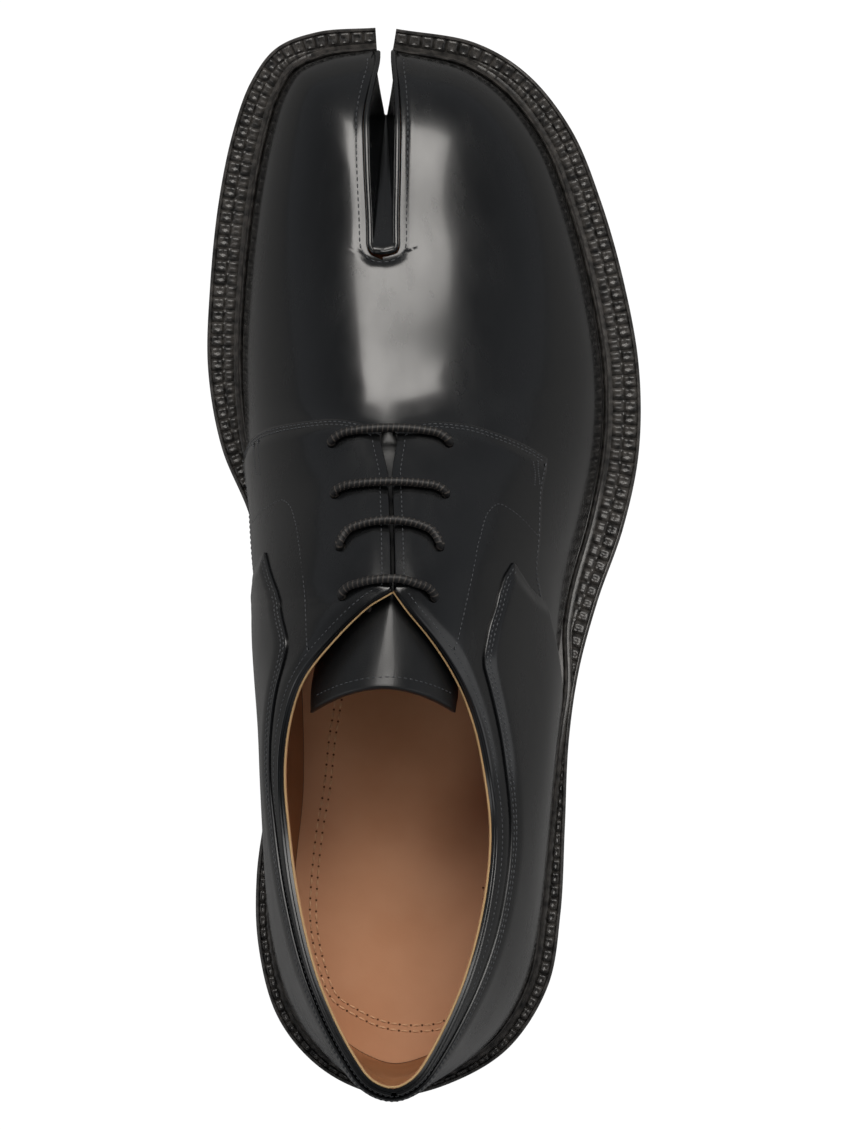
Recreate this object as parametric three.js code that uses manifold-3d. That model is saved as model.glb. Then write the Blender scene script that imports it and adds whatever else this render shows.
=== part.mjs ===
// Lace-up shoe with a cleft toe, for the right foot.
// Millimetres. +X is the outer (lateral) side, +Y the toe, +Z up; the floor is z = 0.
// Every piece follows three shared forms: the sole's outline, the sole's long section
// and the last, a skin worked out section by section from the feather to the topline.
import * as THREE from "three";
import { mergeVertices } from "three/addons/utils/BufferGeometryUtils.js";
import Module from "manifold-3d";

const wasm = await Module();
wasm.setup();

// Driving sizes of the sole
const SOLE_LENGTH = 300;
const BALL_WIDTH = 123;
const OUTSOLE_THICK = 6;
const WELT_THICK = 4;
const WELT_WIDTH = 10.6;
const HEEL_RISE = 24;
const TOE_SPRING = 9;
const TOP_LIFT_THICK = 6;
const HEEL_LENGTH = 76;
const HEEL_INSET = 1.2;
const HEEL_TAPER = 1.6;
const BREAST_HOLLOW = 5;

// Driving sizes of the upper
const BACK_HEIGHT = 65;
const INSTEP_HEIGHT = 80;
const COLLAR_DIP = 19;
const UPPER_WALL = 1.8;
const QUARTER_THICK = 1.2;
const FOXING_THICK = 1.2;
const FACING_GAP = 1;
const THROAT_GAP = 4.4;
const TONGUE_THICK = 2;
const TONGUE_WIDTH = 43;
const TONGUE_DROOP = 18;

// Driving sizes of the toe cleft
const SLOT_WIDTH = 6;
const SLOT_DEPTH = 27;
const GUSSET_WALL = 1.4;
const GUSSET_BEAD = 0.8;

// Driving sizes of the welt's ribs and lip
const RIB_PITCH = 3.6;
const RIB_HEIGHT = 0.9;
const RIM_WIDTH = 0.9;
const RIM_DROP = 0.8;
const LIP_HEIGHT = 1.4;
const LIP_WIDTH = 1.3;

// Driving sizes of the lacing
const LACE_DIAMETER = 2.3;
const LACE_HOLE = 3.6;
const LACE_ROOM = 3.2;
const LACE_SLACK = 0.5;
const LACE_TAIL = 5;

// Gap kept between pieces that touch on the real shoe
const CLEAR = 0.3;

// The sole's outline from the back of the heel to the toe slot, one table for each side.
// along: share of the sole's length from the heel; across: share of the ball width;
// welt: share of the welt's width, from the outline in to the foot of the upper.
const MEDIAL_OUTLINE = [
  { along: 0, across: -0.065, welt: 0.7 },
  { along: 0.009, across: -0.163, welt: 0.76 },
  { along: 0.034, across: -0.258, welt: 0.82 },
  { along: 0.076, across: -0.335, welt: 0.86 },
  { along: 0.14, across: -0.376, welt: 0.86 },
  { along: 0.205, across: -0.38, welt: 0.84 },
  { along: 0.29, across: -0.352, welt: 0.74 },
  { along: 0.38, across: -0.336, welt: 0.5 },
  { along: 0.47, across: -0.352, welt: 0.48 },
  { along: 0.545, across: -0.406, welt: 0.6 },
  { along: 0.605, across: -0.467, welt: 0.82 },
  { along: 0.68, across: -0.499, welt: 0.98 },
  { along: 0.76, across: -0.494, welt: 1 },
  { along: 0.84, across: -0.473, welt: 1 },
  { along: 0.905, across: -0.439, welt: 0.96 },
  { along: 0.95, across: -0.398, welt: 0.9 },
  { along: 0.981, across: -0.34, welt: 0.84 },
  { along: 0.996, across: -0.245, welt: 0.76 },
  { along: 1, across: -0.1115, welt: 0.68 },
];
const LATERAL_OUTLINE = [
  { along: 0.012, across: 0.06, welt: 0.76 },
  { along: 0.044, across: 0.19, welt: 0.86 },
  { along: 0.102, across: 0.281, welt: 0.94 },
  { along: 0.17, across: 0.31, welt: 0.94 },
  { along: 0.25, across: 0.32, welt: 0.84 },
  { along: 0.33, across: 0.329, welt: 0.7 },
  { along: 0.395, across: 0.353, welt: 0.66 },
  { along: 0.46, across: 0.398, welt: 0.86 },
  { along: 0.53, across: 0.46, welt: 1 },
  { along: 0.6, across: 0.496, welt: 1.04 },
  { along: 0.68, across: 0.497, welt: 1.02 },
  { along: 0.76, across: 0.463, welt: 0.98 },
  { along: 0.84, across: 0.407, welt: 0.94 },
  { along: 0.905, across: 0.34, welt: 0.9 },
  { along: 0.957, across: 0.238, welt: 0.84 },
  { along: 0.986, across: 0.118, welt: 0.76 },
  { along: 0.999, across: -0.0635, welt: 0.68 },
];

// The topline of the collar from the back to the top of the facings.
// front: share of the way from the back's height to the instep's; dip: share of the dip.
const BACK_TOPLINE = { along: 0.027, across: -0.065, front: 0, dip: 0 };
const MEDIAL_TOPLINE = [
  { along: 0.034, across: -0.117, front: 0, dip: 0.02 },
  { along: 0.058, across: -0.163, front: 0, dip: 0.1 },
  { along: 0.12, across: -0.236, front: 0.02, dip: 0.28 },
  { along: 0.19, across: -0.282, front: 0.06, dip: 0.55 },
  { along: 0.26, across: -0.307, front: 0.18, dip: 0.82 },
  { along: 0.31, across: -0.315, front: 0.35, dip: 0.88 },
  { along: 0.355, across: -0.302, front: 0.6, dip: 0.72 },
  { along: 0.395, across: -0.267, front: 0.8, dip: 0.42 },
  { along: 0.43, across: -0.198, front: 0.93, dip: 0.16 },
  { along: 0.46, across: -0.12, front: 0.99, dip: 0.03 },
];
const LATERAL_TOPLINE = [
  { along: 0.036, across: -0.018, front: 0, dip: 0.02 },
  { along: 0.058, across: 0.022, front: 0, dip: 0.1 },
  { along: 0.12, across: 0.094, front: 0.02, dip: 0.32 },
  { along: 0.19, across: 0.14, front: 0.06, dip: 0.64 },
  { along: 0.255, across: 0.155, front: 0.18, dip: 0.94 },
  { along: 0.31, across: 0.14, front: 0.35, dip: 0.98 },
  { along: 0.355, across: 0.115, front: 0.6, dip: 0.78 },
  { along: 0.395, across: 0.074, front: 0.8, dip: 0.46 },
  { along: 0.43, across: 0.018, front: 0.93, dip: 0.18 },
  { along: 0.455, across: -0.033, front: 0.99, dip: 0.04 },
];

// The crest of the last along its centre line, above the sole's top.
// rise: share of the instep height.
const CREST = [
  { along: 0.44, rise: 1.02 },
  { along: 0.472, rise: 1 },
  { along: 0.51, rise: 0.965 },
  { along: 0.56, rise: 0.88 },
  { along: 0.62, rise: 0.745 },
  { along: 0.695, rise: 0.63 },
  { along: 0.775, rise: 0.515 },
  { along: 0.857, rise: 0.412 },
  { along: 0.905, rise: 0.34 },
  { along: 0.933, rise: 0.275 },
  { along: 0.96, rise: 0.185 },
];

// The cleft from its end on the vamp to the toe. half: share of the slot's width, from the
// centre line to the middle of the gusset's wall.
const CLEFT = [
  { along: 0.775, half: 0.6 },
  { along: 0.8, half: 0.6 },
  { along: 0.857, half: 0.68 },
  { along: 0.905, half: 0.72 },
  { along: 0.935, half: 0.58 },
  { along: 0.96, half: 0.36 },
];

// The centre line of facings, vamp and cleft. across: share of the ball width.
const CENTRE = [
  { along: 0.03, across: -0.065 },
  { along: 0.472, across: -0.067 },
  { along: 0.62, across: -0.079 },
  { along: 0.775, across: -0.091 },
  { along: 0.905, across: -0.095 },
  { along: 0.96, across: -0.0875 },
];

// Places along the centre line, as shares of the sole's length.
const FACING_TOP = 0.472;
const THROAT = 0.622;
const CLEFT_END = 0.775;
const CLEFT_FRONT = 0.96;
// How far round each side's outline the insole reaches, as a share of it.
const INSOLE_END = 0.985;
// The share of the gusset's run that is the round end of the slot, and how late its sides
// turn into the cleft's plane.
const ROUND_RUN = 0.3;
const SIDE_TURN = 3;

// Sections are counted in stations: 0 at the back of the heel, 1 at the top of the facings,
// 2 at the throat, 3 at the cleft's end and 4 at the front of the cleft.
// foot: share of each side's outline, from the heel's back, where the section meets the sole.
const SECTION_FEET = [
  { station: 0, medial: 0, lateral: 0 },
  { station: 1, medial: 0.452, lateral: 0.478 },
  { station: 2, medial: 0.612, lateral: 0.632 },
  { station: 3, medial: 0.768, lateral: 0.788 },
];

// The section's curve. bulge and rise place its lower handle outward and up from the foot;
// reach and drop place its upper handle outward and down from the top.
// bulge, reach: shares of the ball width; rise, drop: shares of the section's own height.
const MEDIAL_SECTIONS = [
  { station: 0, bulge: 0.022, rise: 0.34, reach: 0.016, drop: 0.34 },
  { station: 0.35, bulge: 0.034, rise: 0.34, reach: 0.03, drop: 0.3 },
  { station: 0.65, bulge: 0.06, rise: 0.34, reach: 0.045, drop: 0.3 },
  { station: 0.85, bulge: 0.115, rise: 0.34, reach: 0.14, drop: 0.26 },
  { station: 1, bulge: 0.138, rise: 0.36, reach: 0.27, drop: 0.1 },
  { station: 1.5, bulge: 0.085, rise: 0.42, reach: 0.225, drop: 0.02 },
  { station: 2, bulge: 0.03, rise: 0.5, reach: 0.18, drop: 0 },
  { station: 3, bulge: 0.012, rise: 0.58, reach: 0.16, drop: 0 },
  { station: 3.5, bulge: 0.01, rise: 0.62, reach: 0.11, drop: -0.1 },
  { station: 4, bulge: 0.016, rise: 0.5, reach: 0.02, drop: 0.12 },
];
const LATERAL_SECTIONS = [
  { station: 0, bulge: 0.022, rise: 0.34, reach: 0.016, drop: 0.34 },
  { station: 0.35, bulge: 0.036, rise: 0.34, reach: 0.06, drop: 0.3 },
  { station: 0.65, bulge: 0.034, rise: 0.34, reach: 0.08, drop: 0.3 },
  { station: 0.85, bulge: 0.02, rise: 0.34, reach: 0.13, drop: 0.26 },
  { station: 1, bulge: 0.004, rise: 0.36, reach: 0.23, drop: 0.1 },
  { station: 1.5, bulge: 0.006, rise: 0.36, reach: 0.22, drop: 0.02 },
  { station: 2, bulge: 0.008, rise: 0.4, reach: 0.22, drop: 0 },
  { station: 3, bulge: 0.008, rise: 0.5, reach: 0.2, drop: 0 },
  { station: 3.5, bulge: 0.008, rise: 0.58, reach: 0.15, drop: -0.08 },
  { station: 4, bulge: 0.016, rise: 0.5, reach: 0.02, drop: 0.12 },
];

// The quarter's lower edge on the section curve: level 0 is the foot, 1 the top.
const MEDIAL_QUARTER_SEAM = [
  { station: 0, level: 0 },
  { station: 0.62, level: 0 },
  { station: 0.75, level: 0.12 },
  { station: 0.88, level: 0.2 },
  { station: 1, level: 0.24 },
  { station: 1.3, level: 0.25 },
  { station: 1.5, level: 0.21 },
  { station: 1.71, level: 0.13 },
];
const LATERAL_QUARTER_SEAM = [
  { station: 0, level: 0 },
  { station: 0.59, level: 0 },
  { station: 0.7, level: 0.17 },
  { station: 0.78, level: 0.32 },
  { station: 0.88, level: 0.42 },
  { station: 1, level: 0.465 },
  { station: 1.35, level: 0.485 },
  { station: 1.58, level: 0.46 },
];
// The quarter's front edge from the corner of its lower edge up to the throat.
const MEDIAL_QUARTER_FRONT = [
  { level: 0.13, station: 1.7 },
  { level: 0.42, station: 1.875 },
  { level: 0.65, station: 1.945 },
  { level: 0.83, station: 1.985 },
  { level: 0.92, station: 1.975 },
  { level: 1, station: 1.93 },
];
const LATERAL_QUARTER_FRONT = [
  { level: 0.46, station: 1.58 },
  { level: 0.545, station: 1.69 },
  { level: 0.655, station: 1.805 },
  { level: 0.78, station: 1.91 },
  { level: 0.91, station: 1.965 },
  { level: 1, station: 1.94 },
];
// The tongue's rows under the facings, in stations, and past them, as shares of the way to its
// end; width narrows the last rows to round the corners.
const TONGUE_ROWS = [2.16, 2.04, 1.92, 1.75, 1.5, 1.25, 1];
const TONGUE_PAST = [
  { share: 0.25, width: 1 },
  { share: 0.5, width: 1 },
  { share: 0.75, width: 1 },
  { share: 0.92, width: 0.99 },
  { share: 1, width: 0.93 },
];
// Where the tongue ends, how high its middle stands there and how far its sides trail back,
// both as shares of its droop.
const TONGUE_END = { along: 0.386, across: -0.09, stand: 0.45, trail: 0.4 };
// Half the butt seam between the quarters at the heel, in stations.
const BACK_SEAM = 0.004;
// The foxing's top edge, and its front edge from the quarter's seam up to its peak.
const MEDIAL_FOXING_TOP = [
  { station: 0, level: 0.95 },
  { station: 0.2, level: 0.95 },
  { station: 0.37, level: 0.94 },
  { station: 0.57, level: 0.915 },
  { station: 0.66, level: 0.89 },
  { station: 0.79, level: 0.84 },
  { station: 0.86, level: 0.79 },
  { station: 0.975, level: 0.625 },
  { station: 1.195, level: 0.51 },
];
const LATERAL_FOXING_TOP = [
  { station: 0, level: 0.95 },
  { station: 0.15, level: 0.93 },
  { station: 0.37, level: 0.885 },
  { station: 0.67, level: 0.88 },
  { station: 0.81, level: 0.86 },
  { station: 0.88, level: 0.775 },
  { station: 0.94, level: 0.685 },
  { station: 1.04, level: 0.59 },
];
const MEDIAL_FOXING_FRONT = [
  { level: 0.24, station: 1.04 },
  { level: 0.32, station: 1.075 },
  { level: 0.51, station: 1.195 },
];
const LATERAL_FOXING_FRONT = [
  { level: 0.45, station: 0.92 },
  { level: 0.515, station: 0.955 },
  { level: 0.59, station: 1.04 },
];

// Lace holes from the throat up, on each side of the facings. bow: how far the bar between
// them bows towards the toe, in lace diameters.
const LACE_HOLES = [
  { row: 1, along: 0.603, medial: -0.197, lateral: 0.05, bow: 1.39 },
  { row: 2, along: 0.556, medial: -0.189, lateral: 0.041, bow: 1.04 },
  { row: 3, along: 0.509, medial: -0.177, lateral: 0.028, bow: 2.6 },
  { row: 4, along: 0.465, medial: -0.17, lateral: 0.013, bow: 1.65 },
];
// Where the lace's bars and hidden runs are set out, as shares of the way between two holes,
// and how high it stands on its way through a hole, from over the facings to under them.
const BAR_PLACES = [0.09, 0.22, 0.4, 0.6, 0.78, 0.91];
const RUN_PLACES = [0.15, 0.38, 0.62, 0.85];
const HOLE_LIFTS = [0.8, 0, -0.9];
// How far a hidden run swings aside of the row it passes, in lace diameters.
const RUN_SWING = 1.75;

// How finely the forms are divided.
const LEVELS = 8;
const COLLAR_STEPS = 16;
const FACING_STEPS = 6;
const VAMP_STEPS = 5;
const CLEFT_STEPS = 8;
const SOLE_ROWS = 38;
const HEEL_ROWS = 14;
const PLATE_COLUMNS = 3;
const WELT_STEPS = 66;
const OUTLINE_STEPS = 60;
const TONGUE_COLUMNS = 8;
const GUSSET_ROWS = 4;
const ROUND_SIDES = 8;
const LACE_SIDES = 6;
const CURVE_SAMPLES = 1200;
// How the stations crowd at the heel's back, the throat and the cleft's end, and the rows of
// the sole at its front.
const HEEL_CROWDING = 1.5;
const THROAT_CROWDING = 1.5;
const CLEFT_CROWDING = 1.4;
const ROW_CROWDING = 1.2;
// How sharply the heel's rows give up the breast's hollow behind its front line.
const BREAST_FADE = 8;

// Materials
const polishedLeather = () =>
  new THREE.MeshStandardMaterial({ color: "#1c1e20", roughness: 0.32, metalness: 0 });
const tongueLeather = () =>
  new THREE.MeshStandardMaterial({ color: "#16181a", roughness: 0.5, metalness: 0 });
const tanLeather = () =>
  new THREE.MeshStandardMaterial({ color: "#b07e5a", roughness: 0.6, metalness: 0 });
const soleRubber = () =>
  new THREE.MeshStandardMaterial({ color: "#151516", roughness: 0.7, metalness: 0 });
const weltRubber = () =>
  new THREE.MeshStandardMaterial({ color: "#232120", roughness: 0.45, metalness: 0 });
const waxedCord = () =>
  new THREE.MeshStandardMaterial({ color: "#151414", roughness: 0.6, metalness: 0 });

// Small helpers
const UP = new THREE.Vector3(0, 0, 1);
const SIDES = [-1, 1];
const sideName = (signed) => (signed < 0 ? "medial" : "lateral");
const toX = (across) => across * BALL_WIDTH;
const toY = (along) => (along - 0.5) * SOLE_LENGTH;
const mix = THREE.MathUtils.lerp;
const ramp = THREE.MathUtils.smoothstep;
const shares = (count) => Array.from({ length: count + 1 }, (_, i) => i / count);

// Reads a table's column at a place, on a smooth curve that never overshoots its rows.
function readTable(rows, key, column) {
  const x = rows.map((row) => row[key]);
  const y = rows.map((row) => row[column]);
  const last = rows.length - 1;
  const slope = x.slice(1).map((_, i) => (y[i + 1] - y[i]) / (x[i + 1] - x[i]));
  const tangent = rows.map((_, i) => {
    if (i === 0) return slope[0];
    if (i === last) return slope[last - 1];
    const product = slope[i - 1] * slope[i];
    return product <= 0 ? 0 : (2 * product) / (slope[i - 1] + slope[i]);
  });
  return (place) => {
    const at = THREE.MathUtils.clamp(place, x[0], x[last]);
    let i = 0;
    while (i < last - 1 && at > x[i + 1]) i += 1;
    const step = x[i + 1] - x[i];
    const u = (at - x[i]) / step;
    const rise = 3 * u * u - 2 * u * u * u;
    const lead = u * u * u - 2 * u * u + u;
    const tail = u * u * u - u * u;
    return mix(y[i], y[i + 1], rise) + step * (lead * tangent[i] + tail * tangent[i + 1]);
  };
}

// A curve through points, read from -1 at its start through 0 at its middle point to 1 at
// its end, evenly by length on each side.
function twoSidedCurve(points, middle) {
  const curve = new THREE.CatmullRomCurve3(points, false, "centripetal");
  const samples = CURVE_SAMPLES;
  const lengths = curve.getLengths(samples);
  const centre = (middle / (points.length - 1)) * samples;
  const low = Math.floor(centre);
  const middleLength = mix(lengths[low], lengths[Math.min(low + 1, samples)], centre - low);
  const total = lengths[samples];
  const sampled = lengths.map((length, i) => ({ length, t: i / samples }));
  return (signed) => {
    const wanted =
      signed < 0 ? middleLength * (1 + signed) : mix(middleLength, total, signed);
    let i = THREE.MathUtils.clamp(Math.floor((wanted / total) * samples), 0, samples - 1);
    while (i > 0 && sampled[i].length > wanted) i -= 1;
    while (i < samples - 1 && sampled[i + 1].length < wanted) i += 1;
    const span = sampled[i + 1].length - sampled[i].length;
    const t = mix(sampled[i].t, sampled[i + 1].t, (wanted - sampled[i].length) / span);
    return curve.getPoint(THREE.MathUtils.clamp(t, 0, 1));
  };
}

// The sole's long section: level under the heel, a sweep down through the waist, flat at the
// ball and rising to the toe.
const WAIST_BACK = toY(0.3);
const WAIST_FRONT = toY(0.585);
const SPRING_START = toY(0.7);
const TOE_TIP = toY(1);
function soleTop(y) {
  const heel = 1 - ramp(y, WAIST_BACK, WAIST_FRONT);
  const spring = Math.max(0, (y - SPRING_START) / (TOE_TIP - SPRING_START));
  return OUTSOLE_THICK + WELT_THICK + HEEL_RISE * heel + TOE_SPRING * spring * spring;
}
const weltBottom = (y) => soleTop(y) - WELT_THICK;
const outsoleBottom = (y) => weltBottom(y) - OUTSOLE_THICK;

// The outline, with the welt's width carried as the third coordinate.
const outlinePoint = (row) =>
  new THREE.Vector3(toX(row.across), toY(row.along), row.welt * WELT_WIDTH);
const outlineCurve = twoSidedCurve(
  [...MEDIAL_OUTLINE].reverse().concat(LATERAL_OUTLINE).map(outlinePoint),
  MEDIAL_OUTLINE.length - 1,
);
const NUDGE = 0.002;
function outlineAt(share) {
  const at = THREE.MathUtils.clamp(share, -1, 1);
  const point = outlineCurve(at);
  const before = outlineCurve(Math.max(-1, at - NUDGE));
  const after = outlineCurve(Math.min(1, at + NUDGE));
  const tangent = new THREE.Vector2(after.x - before.x, after.y - before.y).normalize();
  const inward = new THREE.Vector3(-tangent.y, tangent.x, 0);
  return { point: new THREE.Vector3(point.x, point.y, 0), inward, welt: point.z };
}
function insideOutline(share, distance) {
  const { point, inward } = outlineAt(share);
  return point.addScaledVector(inward, distance);
}
const halfOutline = (side) => {
  let length = 0;
  let previous = outlineAt(0).point;
  for (const share of shares(OUTLINE_STEPS).slice(1)) {
    const next = outlineAt(side * share).point;
    length += next.distanceTo(previous);
    previous = next;
  }
  return length;
};
const OUTLINE_LENGTH = { medial: halfOutline(-1), lateral: halfOutline(1) };

// Centre line, crest and cleft, by y.
const alongOf = (y) => y / SOLE_LENGTH + 0.5;
const centreAcross = readTable(CENTRE, "along", "across");
const crestRise = readTable(CREST, "along", "rise");
const cleftHalf = readTable(CLEFT, "along", "half");
const centreX = (y) => toX(centreAcross(alongOf(y)));
const crestZ = (y) => soleTop(y) + INSTEP_HEIGHT * crestRise(alongOf(y));
function crestSlope(y) {
  return crestZ(y + 0.5) - crestZ(y - 0.5);
}
// Half the cleft's width at the edge of the upper, round at the cleft's end.
function cleftEdgeHalf(y) {
  const open = cleftHalf(alongOf(y)) * SLOT_WIDTH + GUSSET_WALL / 2 + CLEAR;
  const into = Math.min(1, Math.max(0, (y - toY(CLEFT_END)) / open));
  return open * Math.sqrt(1 - (1 - into) * (1 - into));
}
// Half the slit between the facings, closing at the throat.
const facingHalf = readTable(
  [
    { along: FACING_TOP, half: FACING_GAP / 2 },
    { along: mix(FACING_TOP, THROAT, 0.66), half: FACING_GAP / 2 },
    { along: mix(FACING_TOP, THROAT, 0.93), half: THROAT_GAP / 2 },
    { along: THROAT, half: 0 },
  ],
  "along",
  "half",
);

// The topline of the collar, both sides in one curve.
const facingTopPoint = (side) =>
  new THREE.Vector3(
    centreX(toY(FACING_TOP)) + (side * FACING_GAP) / 2,
    toY(FACING_TOP),
    crestZ(toY(FACING_TOP)),
  );
function toplinePoint(row) {
  const back = soleTop(toY(0)) + BACK_HEIGHT;
  const front = crestZ(toY(FACING_TOP));
  const z = mix(back, front, row.front) - COLLAR_DIP * row.dip;
  return new THREE.Vector3(toX(row.across), toY(row.along), z);
}
const toplineCurve = twoSidedCurve(
  [
    facingTopPoint(-1),
    ...[...MEDIAL_TOPLINE].reverse().map(toplinePoint),
    toplinePoint(BACK_TOPLINE),
    ...LATERAL_TOPLINE.map(toplinePoint),
    facingTopPoint(1),
  ],
  MEDIAL_TOPLINE.length + 1,
);

// The top of the section at a signed station, medial stations being negative. Past the
// cleft's end a section still runs to the centre line, and the cleft cuts it short.
function sectionTop(station) {
  const side = Math.sign(station) || 1;
  const at = Math.abs(station);
  if (at <= 1) return toplineCurve(side * at);
  if (at <= 2) {
    const y = mix(toY(FACING_TOP), toY(THROAT), at - 1);
    const half = at === 2 ? 0 : facingHalf(alongOf(y));
    return new THREE.Vector3(centreX(y) + side * half, y, crestZ(y));
  }
  if (at <= 3) {
    const y = mix(toY(THROAT), toY(CLEFT_END), at - 2);
    return new THREE.Vector3(centreX(y), y, crestZ(y));
  }
  const y = mix(toY(CLEFT_END), toY(CLEFT_FRONT), at - 3);
  return new THREE.Vector3(centreX(y), y, crestZ(y));
}

// The foot of the section, where the upper meets the welt.
const footShare = {
  medial: readTable(SECTION_FEET, "station", "medial"),
  lateral: readTable(SECTION_FEET, "station", "lateral"),
};
function sectionFoot(station) {
  const name = sideName(station);
  const side = station < 0 ? -1 : 1;
  const at = Math.abs(station);
  const end = 1 - (GUSSET_WALL + CLEAR) / OUTLINE_LENGTH[name];
  const share = at <= 3 ? footShare[name](at) : mix(footShare[name](3), end, at - 3);
  const { point, inward, welt } = outlineAt(side * share);
  const foot = point.addScaledVector(inward, welt);
  foot.z = soleTop(foot.y) + CLEAR;
  return { foot, outward: inward.negate() };
}

// The last's skin: a cubic from the foot to the top of each section.
const sectionTables = {
  medial: MEDIAL_SECTIONS,
  lateral: LATERAL_SECTIONS,
};
const sectionShape = {};
for (const [name, rows] of Object.entries(sectionTables)) {
  sectionShape[name] = {};
  for (const column of ["bulge", "rise", "reach", "drop"])
    sectionShape[name][column] = readTable(rows, "station", column);
}
function sectionHandles(station) {
  const at = Math.abs(station);
  const shape = sectionShape[sideName(station)];
  const { foot, outward } = sectionFoot(station);
  const top = sectionTop(station);
  const height = top.z - foot.z;
  const across = new THREE.Vector3(foot.x - top.x, foot.y - top.y, 0).normalize();
  const leaving = outward.clone().lerp(across, ramp(at, 0.6, 1)).normalize();
  const low = foot
    .clone()
    .addScaledVector(outward, shape.bulge(at) * BALL_WIDTH)
    .addScaledVector(UP, shape.rise(at) * height);
  const reach = shape.reach(at) * BALL_WIDTH;
  const lean = crestSlope(top.y) * leaving.y * reach * ramp(at, 0.8, 1.1);
  const high = top
    .clone()
    .addScaledVector(leaving, reach)
    .addScaledVector(UP, lean - shape.drop(at) * height);
  return [foot, low, high, top];
}
function cubicPoint([foot, low, high, top], u) {
  const back = 1 - u;
  return new THREE.Vector3()
    .addScaledVector(foot, back * back * back)
    .addScaledVector(low, 3 * back * back * u)
    .addScaledVector(high, 3 * back * u * u)
    .addScaledVector(top, u * u * u);
}
// The share of a section left by the cleft: where its curve meets the cleft's edge.
const cutShares = new Map();
function cutShare(station, handles) {
  if (Math.abs(station) <= 3) return 1;
  if (cutShares.has(station)) return cutShares.get(station);
  let low = 0;
  let high = 1;
  for (let turn = 0; turn < 24; turn += 1) {
    const middle = (low + high) / 2;
    const point = cubicPoint(handles, middle);
    if (Math.abs(point.x - centreX(point.y)) > cleftEdgeHalf(point.y)) low = middle;
    else high = middle;
  }
  cutShares.set(station, high);
  return high;
}
function skin(station, level) {
  const handles = sectionHandles(station);
  return cubicPoint(handles, level * cutShare(station, handles));
}

// The skin's outward normal; level along the foot, in the cleft's own plane along its edge,
// and shared by both sides on the crest.
const STATION_STEP = 0.01;
const LEVEL_STEP = 0.01;
function rawNormal(station, level) {
  const side = station < 0 ? -1 : 1;
  const limit = 4 - STATION_STEP;
  const at = THREE.MathUtils.clamp(station, -limit, limit);
  const whole = Math.round(Math.abs(at));
  const onEdge = Math.abs(Math.abs(at) - whole) < 1e-6 && whole > 0;
  const back = onEdge ? 0 : STATION_STEP;
  const ahead = skin(at + (side < 0 && onEdge ? 0 : STATION_STEP), level);
  const behind = skin(at - (side < 0 && onEdge ? STATION_STEP : back), level);
  const high = skin(at, Math.min(1, level + LEVEL_STEP));
  const low = skin(at, Math.max(0, level - LEVEL_STEP));
  return ahead.sub(behind).cross(high.sub(low)).normalize();
}
const onCrest = (station, level) =>
  level === 1 && Math.abs(station) >= 2 && Math.abs(station) <= 3;
const onCleft = (station, level) =>
  Math.abs(station) === 4 || (level === 1 && Math.abs(station) > 3);
function skinNormal(station, level) {
  const normal = rawNormal(station, level);
  if (onCrest(station, level)) normal.add(rawNormal(-station, level));
  if (onCrest(station, level) || onCleft(station, level)) normal.x = 0;
  normal.z *= Math.min(1, level * LEVELS);
  return normal.normalize();
}
function offSkin(station, level, distance) {
  return skin(station, level).addScaledVector(skinNormal(station, level), distance);
}

// Solids

// A closed mesh from points and faces: equal points are joined and the faces turned outward.
function closedMesh(points, faces) {
  const geometry = new THREE.BufferGeometry().setFromPoints(points);
  geometry.setIndex(faces.flat());
  const merged = mergeVertices(geometry, 1e-4);
  const place = merged.getAttribute("position");
  const index = merged.getIndex().array;
  const kept = [];
  let volume = 0;
  const a = new THREE.Vector3();
  const b = new THREE.Vector3();
  const c = new THREE.Vector3();
  for (let i = 0; i < index.length; i += 3) {
    const [p, q, r] = index.slice(i, i + 3);
    if (p === q || q === r || r === p) continue;
    kept.push(p, q, r);
    a.fromBufferAttribute(place, p);
    b.fromBufferAttribute(place, q);
    c.fromBufferAttribute(place, r);
    volume += a.dot(b.cross(c));
  }
  if (volume < 0) kept.reverse();
  merged.setIndex(kept);
  return merged;
}

// A wall between two grids of points: both faces and the rims on every open edge.
function wallBetween(outer, inner) {
  const rows = outer.length;
  const columns = outer[0].length;
  const points = [...outer.flat(), ...inner.flat()];
  const far = rows * columns;
  const keys = new Map();
  const canonical = outer.flat().map((point, i) => {
    const key = point.toArray().map((v) => Math.round(v * 1e4)).join();
    if (!keys.has(key)) keys.set(key, i);
    return keys.get(key);
  });
  const faces = [];
  for (let i = 0; i + 1 < rows; i += 1) {
    for (let j = 0; j + 1 < columns; j += 1) {
      const [a, b, c, d] = [
        i * columns + j,
        i * columns + j + 1,
        (i + 1) * columns + j + 1,
        (i + 1) * columns + j,
      ].map((v) => canonical[v]);
      faces.push([a, b, c], [a, c, d]);
    }
  }
  const real = faces.filter(([a, b, c]) => a !== b && b !== c && c !== a);
  const edges = new Map();
  for (const face of real)
    face.forEach((from, k) => edges.set(`${from},${face[(k + 1) % 3]}`, [from, face[(k + 1) % 3]]));
  const rims = [];
  for (const [from, to] of edges.values()) {
    if (edges.has(`${to},${from}`)) continue;
    rims.push([to, from, from + far], [to, from + far, to + far]);
  }
  const backs = real.map(([a, b, c]) => [c + far, b + far, a + far]);
  return closedMesh(points, [...real, ...backs, ...rims]);
}

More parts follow.
